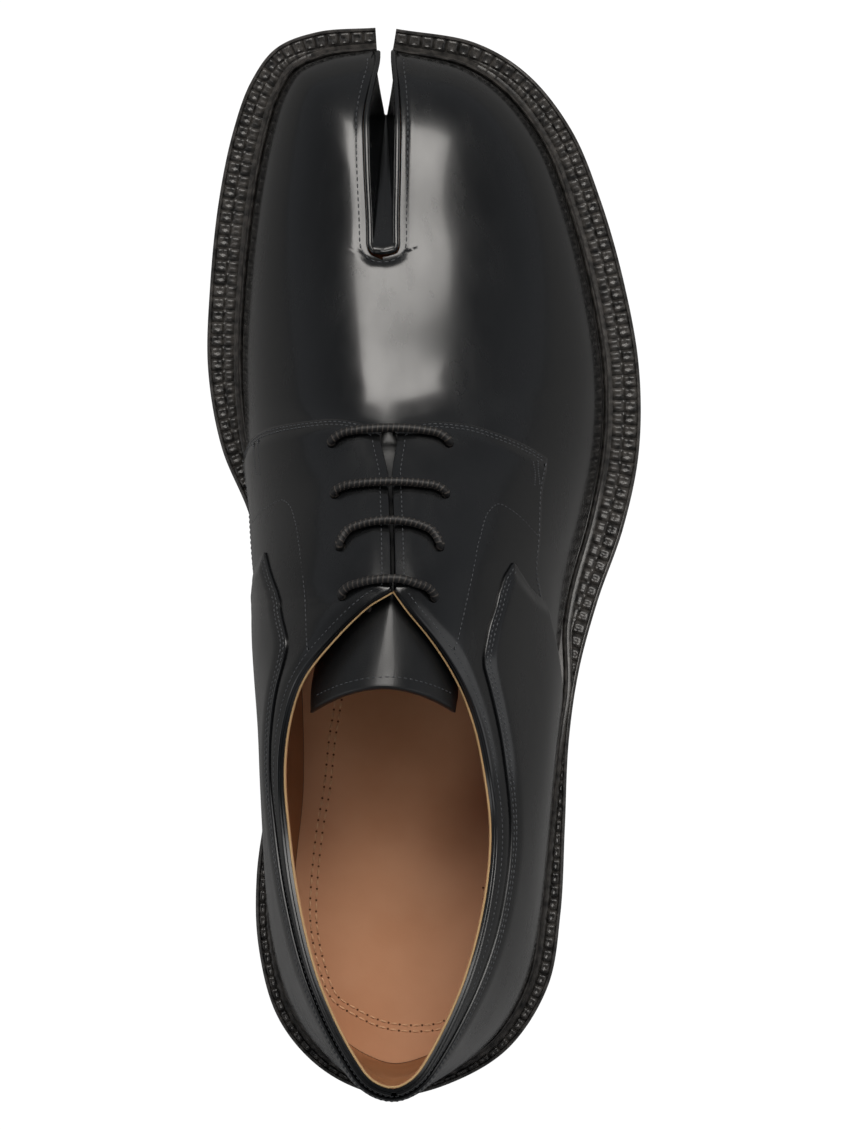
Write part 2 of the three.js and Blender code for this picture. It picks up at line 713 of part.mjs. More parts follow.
// Joining and cutting
function solidOf(geometry) {
  const bare = new THREE.BufferGeometry();
  bare.setAttribute("position", geometry.getAttribute("position"));
  if (geometry.getIndex()) bare.setIndex(geometry.getIndex());
  const merged = mergeVertices(bare, 1e-4);
  return new wasm.Manifold(
    new wasm.Mesh({
      numProp: 3,
      vertProperties: new Float32Array(merged.getAttribute("position").array),
      triVerts: new Uint32Array(merged.getIndex().array),
    }),
  );
}
function geometryOf(solid) {
  const mesh = solid.getMesh();
  const geometry = new THREE.BufferGeometry();
  geometry.setAttribute("position", new THREE.BufferAttribute(mesh.vertProperties, 3));
  geometry.setIndex(new THREE.BufferAttribute(mesh.triVerts, 1));
  return geometry;
}
function cutBy(geometry, cutters) {
  let solid = solidOf(geometry);
  for (const cutter of cutters) solid = solid.subtract(solidOf(cutter));
  return geometryOf(solid);
}

// The toe slot's cutter: parallel sides and a round end.
function slotCutter() {
  const middle = (toX(MEDIAL_OUTLINE.at(-1).across) + toX(LATERAL_OUTLINE.at(-1).across)) / 2;
  const radius = SLOT_WIDTH / 2;
  const end = toY(1) - SLOT_DEPTH + radius;
  const beyond = toY(1) + SLOT_WIDTH;
  const shape = new THREE.Shape();
  shape.moveTo(middle + radius, beyond);
  shape.lineTo(middle - radius, beyond);
  shape.lineTo(middle - radius, end);
  shape.absarc(middle, end, radius, Math.PI, 2 * Math.PI, false);
  shape.closePath();
  const depth = 4 * (OUTSOLE_THICK + WELT_THICK + TOE_SPRING);
  const geometry = new THREE.ExtrudeGeometry(shape, {
    depth,
    bevelEnabled: false,
    curveSegments: 5,
  });
  return geometry.translate(0, 0, -depth / 2);
}

// A plate across the outline: rows of points from side to side, between two heights.
function plate({ to = 1, rows, inset, bottomInset = inset, top, bottom, hollow = 0 }) {
  const across = shares(PLATE_COLUMNS);
  const layer = (distance, height) =>
    shares(rows).map((row) => {
      const share = to * Math.sin((row * Math.PI) / 2) ** ROW_CROWDING;
      const left = insideOutline(-share, distance(-share));
      const right = insideOutline(share, distance(share));
      return across.map((u) => {
        const point = left.clone().lerp(right, u);
        point.y -= hollow * row ** BREAST_FADE * (1 - (2 * u - 1) ** 2);
        point.z = height(point.y);
        return point;
      });
    });
  return wallBetween(layer(inset, top), layer(bottomInset, bottom));
}

function makeOutsole() {
  const geometry = plate({
    rows: SOLE_ROWS,
    inset: () => 0,
    top: (y) => weltBottom(y) - CLEAR,
    bottom: outsoleBottom,
  });
  return cutBy(geometry, [slotCutter()]);
}

// The heel's front line: the share of the outline where the breast crosses it.
function breastShare() {
  let share = 0;
  while (outlineAt(share).point.y < toY(0) + HEEL_LENGTH) share += 0.002;
  return share;
}
function makeHeelBlock() {
  const to = breastShare();
  return plate({
    to,
    rows: HEEL_ROWS,
    inset: () => HEEL_INSET,
    bottomInset: () => HEEL_INSET + HEEL_TAPER,
    top: () => HEEL_RISE - CLEAR,
    bottom: () => TOP_LIFT_THICK + CLEAR,
    hollow: BREAST_HOLLOW,
  });
}
function makeTopLift() {
  const to = breastShare();
  return plate({
    to,
    rows: HEEL_ROWS,
    inset: () => HEEL_INSET + HEEL_TAPER,
    top: () => TOP_LIFT_THICK,
    bottom: () => 0,
    hollow: BREAST_HOLLOW,
  });
}
// The welt reaches in under the whole wall of the upper, and the insole fills what is inside.
const weltInner = (share) => outlineAt(share).welt + UPPER_WALL + CLEAR;
function makeInsole() {
  const geometry = plate({
    to: INSOLE_END,
    rows: SOLE_ROWS,
    inset: (share) => weltInner(share) + 2 * CLEAR,
    top: soleTop,
    bottom: weltBottom,
  });
  return cutBy(geometry, [slotCutter()]);
}

// The layers lapped on the upper at its foot: both at the heel, none in front of the waist.
function footLayers(share) {
  const station = footStation(share);
  return (QUARTER_THICK + FOXING_THICK + 2 * CLEAR) * (1 - ramp(station, 0.7, 0.85));
}
// How far the upper leans out over its foot by the height of the lip.
function footLean(share) {
  const station = footStation(share);
  const [foot, low] = sectionHandles(share < 0 ? -station : station);
  const out = Math.hypot(low.x - foot.x, low.y - foot.y);
  return (out / (low.z - foot.z)) * LIP_HEIGHT;
}
function footStation(share) {
  const shareOf = footShare[sideName(share)];
  let station = 0;
  while (station < 3 && shareOf(station) < Math.abs(share)) station += STATION_STEP;
  return station;
}

// Two runs of points of unequal number, joined by a strip of triangles.
function stripBetween(a, b) {
  const faces = [];
  let i = 0;
  let j = 0;
  while (i + 1 < a.length || j + 1 < b.length) {
    const nextA = i + 1 < a.length ? a[i + 1].share : Infinity;
    const nextB = j + 1 < b.length ? b[j + 1].share : Infinity;
    if (nextA <= nextB) {
      faces.push([a[i].id, a[i + 1].id, b[j].id]);
      i += 1;
    } else {
      faces.push([a[i].id, b[j + 1].id, b[j].id]);
      j += 1;
    }
  }
  return faces;
}

// The welt: a band round the whole sole, with a ribbed deck, a channel, a raised lip and a
// shelf for the upper. Its profile is a loop of rails, measured in from the outline.
function makeWelt() {
  const ribs = Math.round((OUTLINE_LENGTH.medial + OUTLINE_LENGTH.lateral) / RIB_PITCH);
  const lipIn = (share) => outlineAt(share).welt - footLayers(share) - footLean(share) - CLEAR;
  const deck = (share) => lipIn(share) - 2 * LIP_WIDTH;
  const rails = [
    { at: () => 0, height: 0 },
    { at: () => 0, height: WELT_THICK - RIM_DROP },
    { at: () => RIM_WIDTH, height: WELT_THICK - CLEAR, ribbed: true },
    { at: deck, height: WELT_THICK - CLEAR, ribbed: true },
    { at: (share) => deck(share) + LIP_WIDTH / 2, height: WELT_THICK - RIB_HEIGHT },
    { at: (share) => lipIn(share) - LIP_WIDTH, height: WELT_THICK - RIB_HEIGHT },
    { at: (share) => lipIn(share) - LIP_WIDTH / 2, height: WELT_THICK + LIP_HEIGHT },
    { at: lipIn, height: WELT_THICK - CLEAR },
    { at: weltInner, height: WELT_THICK - CLEAR },
    { at: weltInner, height: 0 },
  ];
  const points = [];
  const lines = rails.map((rail) => {
    const steps = rail.ribbed ? ribs * 2 : WELT_STEPS;
    return shares(steps).map((u, i) => {
      const share = 2 * u - 1;
      const point = insideOutline(share, rail.at(share));
      const down = rail.ribbed && i % 2 ? RIB_HEIGHT : 0;
      point.z = weltBottom(point.y) + rail.height - down;
      points.push(point);
      return { id: points.length - 1, share };
    });
  });
  const faces = [];
  lines.forEach((line, k) => faces.push(...stripBetween(line, lines[(k + 1) % lines.length])));
  for (const end of [0, -1]) {
    const ring = lines.map((line) => line.at(end).id);
    const flat = rails.map((rail) => new THREE.Vector2(rail.at(end ? 1 : -1), rail.height));
    for (const [a, b, c] of THREE.ShapeUtils.triangulateShape(flat, []))
      faces.push(end ? [ring[a], ring[b], ring[c]] : [ring[c], ring[b], ring[a]]);
  }
  return closedMesh(points, faces);
}

// Stations of the upper from the front of the cleft round the heel to the front again.
function upperStations() {
  const eased = (count) => shares(count).map((u) => 1 - (1 - u) ** THROAT_CROWDING);
  const side = [
    ...shares(COLLAR_STEPS).map((u) => u ** HEEL_CROWDING),
    ...eased(FACING_STEPS).slice(1).map((u) => 1 + u),
    ...shares(VAMP_STEPS).slice(1).map((u) => 2 + u),
    ...shares(CLEFT_STEPS).slice(1).map((u) => 3 + u ** CLEFT_CROWDING),
  ];
  return [...side.slice(1).reverse().map((s) => -s), ...side];
}
const holePoints = () =>
  LACE_HOLES.flatMap((row) =>
    SIDES.map((side) => ({
      name: `${side < 0 ? "M" : "L"}${row.row}`,
      x: toX(row[sideName(side)]),
      y: toY(row.along),
      bow: row.bow,
    })),
  );

// The point of the skin above a place on the facings.
function skinOver(x, y) {
  const side = x < centreX(y) ? -1 : 1;
  let best = { station: 1.5, level: 0.9, miss: Infinity };
  for (const s of shares(24))
    for (const l of shares(14)) {
      const station = side * mix(0.9, 2.1, s);
      const level = mix(0.6, 1, l);
      const point = skin(station, level);
      const miss = Math.hypot(point.x - x, point.y - y);
      if (miss < best.miss) best = { station, level, miss };
    }
  let { station, level } = best;
  for (let turn = 0; turn < 8; turn += 1) {
    const here = skin(station, level);
    const alongS = skin(station + STATION_STEP, level).sub(here).divideScalar(STATION_STEP);
    const alongL = skin(station, level - LEVEL_STEP).sub(here).divideScalar(-LEVEL_STEP);
    const determinant = alongS.x * alongL.y - alongS.y * alongL.x;
    const dx = x - here.x;
    const dy = y - here.y;
    station += (dx * alongL.y - dy * alongL.x) / determinant;
    level = Math.min(1, level + (dy * alongS.x - dx * alongS.y) / determinant);
  }
  return { point: skin(station, level), normal: skinNormal(station, level) };
}

function holeCutter(x, y) {
  const { point, normal } = skinOver(x, y);
  const length = 4 * (UPPER_WALL + QUARTER_THICK);
  const cutter = new THREE.CylinderGeometry(LACE_HOLE / 2, LACE_HOLE / 2, length, ROUND_SIDES);
  const turn = new THREE.Quaternion().setFromUnitVectors(new THREE.Vector3(0, 1, 0), normal);
  cutter.applyQuaternion(turn).translate(point.x, point.y, point.z);
  return cutter;
}
const holeCutters = (initial) =>
  holePoints()
    .filter((hole) => !initial || hole.name[0] === initial)
    .map((hole) => holeCutter(hole.x, hole.y));

function makeUpper() {
  const stations = upperStations();
  const levels = shares(LEVELS);
  const face = (distance) =>
    stations.map((station) => levels.map((level) => offSkin(station, level, distance)));
  const cleft = gussetWall(GUSSET_WALL / 2 + CLEAR, CLEAR);
  return cutBy(wallBetween(face(0), face(-UPPER_WALL)), [cleft, ...holeCutters()]);
}

// A piece lapped on the skin. It has the upper's own sections and levels, drawn in to its
// back, front, lower and upper edges, so that it lies on the upper facet by facet.
function lapped({ backAt, frontAt, lowAt, highAt, lift, thick }) {
  const face = (distance) =>
    upperStations().map((wanted) =>
      shares(LEVELS).map((level) => {
        const station = THREE.MathUtils.clamp(wanted, backAt(level), frontAt(level));
        const clamped = THREE.MathUtils.clamp(level, lowAt(station), highAt(station));
        return offSkin(station, clamped, distance);
      }),
    );
  return wallBetween(face(lift + thick), face(lift));
}
const seamLevel = {
  medial: readTable(MEDIAL_QUARTER_SEAM, "station", "level"),
  lateral: readTable(LATERAL_QUARTER_SEAM, "station", "level"),
};
const quarterFront = {
  medial: readTable(MEDIAL_QUARTER_FRONT, "level", "station"),
  lateral: readTable(LATERAL_QUARTER_FRONT, "level", "station"),
};
const lowerEdge = (station) => seamLevel[sideName(station)](Math.abs(station));
function makeQuarter(side) {
  const backSeam = () => side * BACK_SEAM;
  const front = (level) => side * quarterFront[sideName(side)](level);
  const geometry = lapped({
    backAt: side < 0 ? front : backSeam,
    frontAt: side < 0 ? backSeam : front,
    lowAt: lowerEdge,
    highAt: () => 1,
    lift: CLEAR,
    thick: QUARTER_THICK,
  });
  return cutBy(geometry, holeCutters(side < 0 ? "M" : "L"));
}
const foxingTop = {
  medial: readTable(MEDIAL_FOXING_TOP, "station", "level"),
  lateral: readTable(LATERAL_FOXING_TOP, "station", "level"),
};
const foxingFront = {
  medial: readTable(MEDIAL_FOXING_FRONT, "level", "station"),
  lateral: readTable(LATERAL_FOXING_FRONT, "level", "station"),
};
function makeFoxing() {
  return lapped({
    backAt: (level) => -foxingFront.medial(level),
    frontAt: foxingFront.lateral,
    lowAt: lowerEdge,
    highAt: (station) => foxingTop[sideName(station)](Math.abs(station)),
    lift: 2 * CLEAR + QUARTER_THICK,
    thick: FOXING_THICK,
  });
}

// The gusset: the wall of the cleft, from a bead at the upper's edge down to the sole's slot.
// beyond: how far it runs on past the front, where it clears a way for itself in the upper.
function gussetWall(half, beyond) {
  const side = shares(CLEFT_STEPS).map((u) => 3 + u ** CLEFT_CROWDING);
  const stations = [...side.slice(1).reverse().map((s) => -s), ...side];
  const rim = stations.map((station) => skin(station, 1));
  const slot = slotPath(stations.length);
  const gap = GUSSET_WALL / 2 + CLEAR;
  const down = shares(GUSSET_ROWS);
  const middle = stations.map((station, i) => {
    const before = rim[Math.max(0, i - 1)];
    const after = rim[Math.min(rim.length - 1, i + 1)];
    const way = new THREE.Vector3(after.x - before.x, after.y - before.y, 0).normalize();
    const inward = new THREE.Vector3(-way.y, way.x, 0);
    const top = rim[i].clone().addScaledVector(inward, gap).addScaledVector(UP, GUSSET_BEAD);
    const front = Math.abs(2 * (i / (stations.length - 1)) - 1) ** SIDE_TURN;
    return down.map((v) => {
      const straight = top.clone().lerp(slot[i], v);
      const edge = skin(Math.sign(station) * 4, 1 - v);
      edge.x -= Math.sign(station) * gap;
      edge.y += beyond;
      edge.z += GUSSET_BEAD * (1 - v);
      return straight.lerp(edge, front);
    });
  });
  const normals = middle.map((line, i) =>
    line.map((_, j) => {
      const a = middle[Math.max(0, i - 1)][j];
      const b = middle[Math.min(middle.length - 1, i + 1)][j];
      const c = line[Math.max(0, j - 1)];
      const d = line[Math.min(line.length - 1, j + 1)];
      const normal = b.clone().sub(a).cross(d.clone().sub(c));
      if (j === 0 || j === line.length - 1) normal.z = 0;
      return normal.normalize();
    }),
  );
  const face = (distance) =>
    middle.map((line, i) =>
      line.map((point, j) => point.clone().addScaledVector(normals[i][j], distance)),
    );
  return wallBetween(face(half), face(-half));
}
const makeGusset = () => gussetWall(GUSSET_WALL / 2, 0);
// The gusset's foot: round the slot in the sole, half a wall outside it.
function slotPath(count) {
  const middle = (toX(MEDIAL_OUTLINE.at(-1).across) + toX(LATERAL_OUTLINE.at(-1).across)) / 2;
  const radius = (SLOT_WIDTH + GUSSET_WALL) / 2;
  const end = toY(1) - SLOT_DEPTH + SLOT_WIDTH / 2;
  const start = sectionFoot(4).foot.y;
  return shares(count - 1).map((u) => {
    const signed = 2 * u - 1;
    const at = Math.abs(signed);
    const side = Math.sign(signed);
    const angle = (Math.min(at, ROUND_RUN) / ROUND_RUN) * (Math.PI / 2);
    const run = Math.max(0, (at - ROUND_RUN) / (1 - ROUND_RUN));
    const x = middle + side * radius * Math.sin(angle);
    const y = mix(end, start, run) - radius * Math.cos(angle) * (at < ROUND_RUN ? 1 : 0);
    return new THREE.Vector3(x, y, soleTop(y) + CLEAR);
  });
}

// The tongue: an arch under the facings that stands on past them into the collar.
function makeTongue() {
  const columns = shares(TONGUE_COLUMNS).map((u) => 2 * u - 1);
  const half = TONGUE_WIDTH / 2;
  // Deep enough for the lace under the facings, close to the vamp in front of them.
  const roomUnder = UPPER_WALL + LACE_ROOM;
  const depth = (station) => mix(roomUnder, UPPER_WALL + CLEAR, ramp(station, 1.9, 2.1));
  const underRow = (station) =>
    columns.map((c) => {
      const side = c < 0 ? -1 : 1;
      const level = levelAcross(side * station, Math.abs(c) * half);
      const point = skin(side * station, level);
      return point.addScaledVector(skinNormal(side * station, level), -depth(station));
    });
  const last = underRow(1);
  const middle = last[TONGUE_COLUMNS / 2];
  const end = new THREE.Vector3(
    toX(TONGUE_END.across),
    toY(TONGUE_END.along),
    middle.z + TONGUE_DROOP * TONGUE_END.stand,
  );
  const pastRow = ({ share, width }) =>
    columns.map((c, i) => {
      const drop = TONGUE_DROOP * c * c;
      const away = new THREE.Vector3(c * half * width, -TONGUE_END.trail * drop, -drop);
      return last[i].clone().lerp(away.add(end), share);
    });
  const top = [...TONGUE_ROWS.map(underRow), ...TONGUE_PAST.map(pastRow)];
  const under = top.map((row, i) =>
    row.map((point, j) => {
      const a = top[Math.max(0, i - 1)][j];
      const b = top[Math.min(top.length - 1, i + 1)][j];
      const c = row[Math.max(0, j - 1)];
      const d = row[Math.min(row.length - 1, j + 1)];
      const normal = d.clone().sub(c).cross(a.clone().sub(b)).normalize();
      return point.clone().addScaledVector(normal, -TONGUE_THICK);
    }),
  );
  return wallBetween(top, under);
}
// The level at which a section lies a given distance out from the centre line.
function levelAcross(station, distance) {
  let low = 0.3;
  let high = 1;
  for (let turn = 0; turn < 30; turn += 1) {
    const level = (low + high) / 2;
    const point = skin(station, level);
    if (Math.abs(point.x - centreX(point.y)) > distance) low = level;
    else high = level;
  }
  return high;
}

// The lace: bars over the facings, joined by runs under them. Each point is a place on the
// facings and a lift: 1 over the quarters, -1 under the upper, 0 in the hole.
function makeLace() {
  const hole = Object.fromEntries(holePoints().map((h) => [h.name, h]));
  const over = QUARTER_THICK + 2 * CLEAR + LACE_DIAMETER / 2;
  const under = -(UPPER_WALL + LACE_SLACK + LACE_DIAMETER / 2);
  const route = [];
  const via = (x, y, lift) => {
    const { point, normal } = skinOver(x, y);
    route.push(point.addScaledVector(normal, lift > 0 ? over * lift : -under * lift));
  };
  const through = (name, down) => {
    const { x, y } = hole[name];
    const lifts = down ? HOLE_LIFTS : [...HOLE_LIFTS].reverse();
    for (const lift of lifts) via(x, y, lift);
  };
  const bar = (from, to) => {
    const a = hole[from];
    const b = hole[to];
    for (const u of BAR_PLACES) {
      const bow = a.bow * LACE_DIAMETER * Math.sqrt(1 - (2 * u - 1) ** 2);
      via(mix(a.x, b.x, u), mix(a.y, b.y, u) + bow, 1);
    }
  };
  const runUnder = (from, to, aside) => {
    const a = hole[from];
    const b = hole[to];
    for (const u of RUN_PLACES) {
      const swing = aside * RUN_SWING * LACE_DIAMETER * Math.sqrt(Math.sin(Math.PI * u));
      via(mix(a.x, b.x, u) + swing, mix(a.y, b.y, u), -1);
    }
  };
  const tail = (name, side) => {
    const { x, y } = hole[name];
    return [x + side * LACE_TAIL, y - LACE_TAIL / 3];
  };
  via(...tail("M4", 1), -1);
  through("M4", false);
  bar("M4", "L4");
  through("L4", true);
  runUnder("L4", "L2", -1);
  through("L2", false);
  bar("L2", "M2");
  through("M2", true);
  runUnder("M2", "M1", 0);
  through("M1", false);
  bar("M1", "L1");
  through("L1", true);
  runUnder("L1", "L3", 1);
  through("L3", false);
  bar("L3", "M3");
  through("M3", true);
  via(...tail("M3", -1), -1);
  return cordAlong(route, LACE_DIAMETER / 2);
}
// A round cord along a run of points, mitred at each one.
function cordAlong(route, radius) {
  const ways = route.map((_, i) => {
    const before = route[Math.max(0, i - 1)];
    const after = route[Math.min(route.length - 1, i + 1)];
    const arriving = route[i].clone().sub(before).normalize();
    const leaving = after.clone().sub(route[i]).normalize();
    return arriving.add(leaving).normalize();
  });
  const points = [];
  const aside = new THREE.Vector3().crossVectors(ways[0], UP).normalize();
  route.forEach((place, i) => {
    aside.addScaledVector(ways[i], -aside.dot(ways[i])).normalize();
    const other = new THREE.Vector3().crossVectors(ways[i], aside);
    for (const u of shares(LACE_SIDES).slice(1)) {
      const angle = u * 2 * Math.PI;
      const point = place.clone().addScaledVector(aside, radius * Math.cos(angle));
      points.push(point.addScaledVector(other, radius * Math.sin(angle)));
    }
  });
  const faces = [];
  const ring = (i, k) => i * LACE_SIDES + (k % LACE_SIDES);
  for (let i = 0; i + 1 < route.length; i += 1)
    for (let k = 0; k < LACE_SIDES; k += 1) {
      faces.push([ring(i, k), ring(i, k + 1), ring(i + 1, k + 1)]);
      faces.push([ring(i, k), ring(i + 1, k + 1), ring(i + 1, k)]);
    }
  const far = route.length - 1;
  for (let k = 1; k + 1 < LACE_SIDES; k += 1) {
    faces.push([ring(0, 0), ring(0, k + 1), ring(0, k)]);
    faces.push([ring(far, 0), ring(far, k), ring(far, k + 1)]);
  }
  return closedMesh(points, faces);
}

// The assembly
const shoe = new THREE.Group();
function add(name, geometry, material) {
  const mesh = new THREE.Mesh(geometry, material);
  mesh.name = name;
  shoe.add(mesh);
}
add("outsole", makeOutsole(), soleRubber());
add("heel_block", makeHeelBlock(), soleRubber());
add("heel_top_lift", makeTopLift(), soleRubber());
add("welt", makeWelt(), weltRubber());
add("insole", makeInsole(), tanLeather());
add("upper", makeUpper(), polishedLeather());
add("quarter_medial", makeQuarter(-1), polishedLeather());
add("quarter_lateral", makeQuarter(1), polishedLeather());
add("heel_foxing", makeFoxing(), polishedLeather());
add("toe_gusset", makeGusset(), polishedLeather());
add("tongue", makeTongue(), tongueLeather());
add("lace", makeLace(), waxedCord());

export default shoe;
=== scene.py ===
# %% [markdown]
# A black lace-up shoe with a cleft toe, for the right foot. The CAD part is loaded as the
# frame; every piece is then modelled again at full fineness in the same place, from the
# same sizes and tables, and gets its leather, rubber, cord and thread.

import math

import bmesh
import bpy
import numpy as np
from mathutils import Matrix, Vector


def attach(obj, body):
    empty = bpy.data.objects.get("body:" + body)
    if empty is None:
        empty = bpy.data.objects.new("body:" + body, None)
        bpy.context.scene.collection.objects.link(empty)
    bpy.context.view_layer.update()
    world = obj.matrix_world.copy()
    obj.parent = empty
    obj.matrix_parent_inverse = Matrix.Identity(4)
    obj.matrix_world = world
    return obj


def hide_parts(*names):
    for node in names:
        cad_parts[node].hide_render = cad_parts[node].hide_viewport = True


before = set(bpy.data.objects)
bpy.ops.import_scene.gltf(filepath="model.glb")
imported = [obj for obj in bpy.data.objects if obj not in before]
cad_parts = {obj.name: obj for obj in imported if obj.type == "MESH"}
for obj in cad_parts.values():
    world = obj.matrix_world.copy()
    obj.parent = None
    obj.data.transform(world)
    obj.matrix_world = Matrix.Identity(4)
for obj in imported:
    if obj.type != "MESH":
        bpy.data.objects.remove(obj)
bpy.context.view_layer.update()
MM = 0.001

# %% [markdown]
# The driving sizes of the shoe in millimetres, the same as in the CAD part. The sole is an
# adult's, 300 mm long and 123 mm over the welt; layers touch with a small clearance.

# %% Sizes
SOLE_LENGTH, BALL_WIDTH = 300, 123
OUTSOLE_THICK, WELT_THICK, WELT_WIDTH = 6, 4, 10.6
HEEL_RISE, TOE_SPRING, TOP_LIFT_THICK = 24, 9, 6
HEEL_LENGTH, HEEL_INSET, HEEL_TAPER, BREAST_HOLLOW = 76, 1.2, 1.6, 5
BACK_HEIGHT, INSTEP_HEIGHT, COLLAR_DIP = 65, 80, 19
UPPER_WALL, QUARTER_THICK, FOXING_THICK = 1.8, 1.2, 1.2
LEATHER_WALL = 1.0
FACING_GAP, THROAT_GAP = 1, 4.4
TONGUE_THICK, TONGUE_WIDTH, TONGUE_DROOP = 2, 43, 18
SLOT_WIDTH, SLOT_DEPTH, GUSSET_WALL = 6, 27, 1.4
RIB_PITCH, RIB_HEIGHT, LIP_HEIGHT, LIP_WIDTH = 3.6, 0.9, 1.4, 1.3
LACE_DIAMETER, LACE_ROOM, LACE_SLACK, LACE_TAIL = 2.3, 3.2, 0.5, 5
CLEAR = 0.3
FACING_TOP, THROAT, CLEFT_END, CLEFT_FRONT = 0.472, 0.622, 0.775, 0.96
LEVELS = 8
print("sole", SOLE_LENGTH, "x", BALL_WIDTH, "mm")

# %% [markdown]
# The tables are shares of those sizes: the sole's outline on each side with the welt's
# width, the collar's topline, the crest of the last, the cleft and the section curves.


# %% Tables
def table(columns, *rows):
    names = columns.split()
    return [dict(zip(names, row)) for row in rows]


MEDIAL_OUTLINE = table(
    "along across welt",
    (0, -0.065, 0.7), (0.009, -0.163, 0.76), (0.034, -0.258, 0.82), (0.076, -0.335, 0.86),
    (0.14, -0.376, 0.86), (0.205, -0.38, 0.84), (0.29, -0.352, 0.74), (0.38, -0.336, 0.5),
    (0.47, -0.352, 0.48), (0.545, -0.406, 0.6), (0.605, -0.467, 0.82), (0.68, -0.499, 0.98),
    (0.76, -0.494, 1), (0.84, -0.473, 1), (0.905, -0.439, 0.96), (0.95, -0.398, 0.9),
    (0.981, -0.34, 0.84), (0.996, -0.245, 0.76), (1, -0.1115, 0.68),
)
LATERAL_OUTLINE = table(
    "along across welt",
    (0.012, 0.06, 0.76), (0.044, 0.19, 0.86), (0.102, 0.281, 0.94), (0.17, 0.31, 0.94),
    (0.25, 0.32, 0.84), (0.33, 0.329, 0.7), (0.395, 0.353, 0.66), (0.46, 0.398, 0.86),
    (0.53, 0.46, 1), (0.6, 0.496, 1.04), (0.68, 0.497, 1.02), (0.76, 0.463, 0.98),
    (0.84, 0.407, 0.94), (0.905, 0.34, 0.9), (0.957, 0.238, 0.84), (0.986, 0.118, 0.76),
    (0.999, -0.0635, 0.68),
)
BACK_TOPLINE = dict(along=0.027, across=-0.065, front=0, dip=0)
MEDIAL_TOPLINE = table(
    "along across front dip",
    (0.034, -0.117, 0, 0.02), (0.058, -0.163, 0, 0.1), (0.12, -0.236, 0.02, 0.28),
    (0.19, -0.282, 0.06, 0.55), (0.26, -0.307, 0.18, 0.82), (0.31, -0.315, 0.35, 0.88),
    (0.355, -0.302, 0.6, 0.72), (0.395, -0.267, 0.8, 0.42), (0.43, -0.198, 0.93, 0.16),
    (0.46, -0.12, 0.99, 0.03),
)
LATERAL_TOPLINE = table(
    "along across front dip",
    (0.036, -0.018, 0, 0.02), (0.058, 0.022, 0, 0.1), (0.12, 0.094, 0.02, 0.32),
    (0.19, 0.14, 0.06, 0.64), (0.255, 0.155, 0.18, 0.94), (0.31, 0.14, 0.35, 0.98),
    (0.355, 0.115, 0.6, 0.78), (0.395, 0.074, 0.8, 0.46), (0.43, 0.018, 0.93, 0.18),
    (0.455, -0.033, 0.99, 0.04),
)
CREST = table(
    "along rise",
    (0.44, 1.02), (0.472, 1), (0.51, 0.965), (0.56, 0.88), (0.62, 0.745), (0.695, 0.63),
    (0.775, 0.515), (0.857, 0.412), (0.905, 0.34), (0.933, 0.275), (0.96, 0.185),
)
CLEFT = table(
    "along half",
    (0.775, 0.6), (0.8, 0.6), (0.857, 0.68), (0.905, 0.72), (0.935, 0.58), (0.96, 0.36),
)
CENTRE = table(
    "along across",
    (0.03, -0.065), (0.472, -0.067), (0.62, -0.079), (0.775, -0.091), (0.905, -0.095),
    (0.96, -0.0875),
)
SECTION_FEET = table(
    "station medial lateral",
    (0, 0, 0), (1, 0.452, 0.478), (2, 0.612, 0.632), (3, 0.768, 0.788),
)
SECTIONS = {
    "medial": table(
        "station bulge rise reach drop",
        (0, 0.022, 0.34, 0.016, 0.34), (0.35, 0.034, 0.34, 0.03, 0.3),
        (0.65, 0.06, 0.34, 0.045, 0.3), (0.85, 0.115, 0.34, 0.14, 0.26),
        (1, 0.138, 0.36, 0.27, 0.1), (1.5, 0.085, 0.42, 0.225, 0.02),
        (2, 0.03, 0.5, 0.18, 0), (3, 0.012, 0.58, 0.16, 0),
        (3.5, 0.01, 0.62, 0.11, -0.1), (4, 0.016, 0.5, 0.02, 0.12),
    ),
    "lateral": table(
        "station bulge rise reach drop",
        (0, 0.022, 0.34, 0.016, 0.34), (0.35, 0.036, 0.34, 0.06, 0.3),
        (0.65, 0.034, 0.34, 0.08, 0.3), (0.85, 0.02, 0.34, 0.13, 0.26),
        (1, 0.004, 0.36, 0.23, 0.1), (1.5, 0.006, 0.36, 0.22, 0.02),
        (2, 0.008, 0.4, 0.22, 0), (3, 0.008, 0.5, 0.2, 0),
        (3.5, 0.008, 0.58, 0.15, -0.08), (4, 0.016, 0.5, 0.02, 0.12),
    ),
}
QUARTER_SEAM = {
    "medial": table(
        "station level",
        (0, 0), (0.62, 0), (0.75, 0.12), (0.88, 0.2), (1, 0.24), (1.3, 0.25), (1.5, 0.21),
        (1.71, 0.13),
    ),
    "lateral": table(
        "station level",
        (0, 0), (0.59, 0), (0.7, 0.17), (0.78, 0.32), (0.88, 0.42), (1, 0.465), (1.35, 0.485),
        (1.58, 0.46),
    ),
}
QUARTER_FRONT = {
    "medial": table(
        "level station",
        (0.13, 1.7), (0.42, 1.875), (0.65, 1.945), (0.83, 1.985), (0.92, 1.975), (1, 1.93),
    ),
    "lateral": table(
        "level station",
        (0.46, 1.58), (0.545, 1.69), (0.655, 1.805), (0.78, 1.91), (0.91, 1.965), (1, 1.94),
    ),
}
BACK_SEAM = 0.004
FOXING_TOP = {
    "medial": table(
        "station level",
        (0, 0.95), (0.2, 0.95), (0.37, 0.94), (0.57, 0.915), (0.66, 0.89), (0.79, 0.84),
        (0.86, 0.79), (0.975, 0.625), (1.195, 0.51),
    ),
    "lateral": table(
        "station level",
        (0, 0.95), (0.15, 0.93), (0.37, 0.885), (0.67, 0.88), (0.81, 0.86), (0.88, 0.775),
        (0.94, 0.685), (1.04, 0.59),
    ),
}
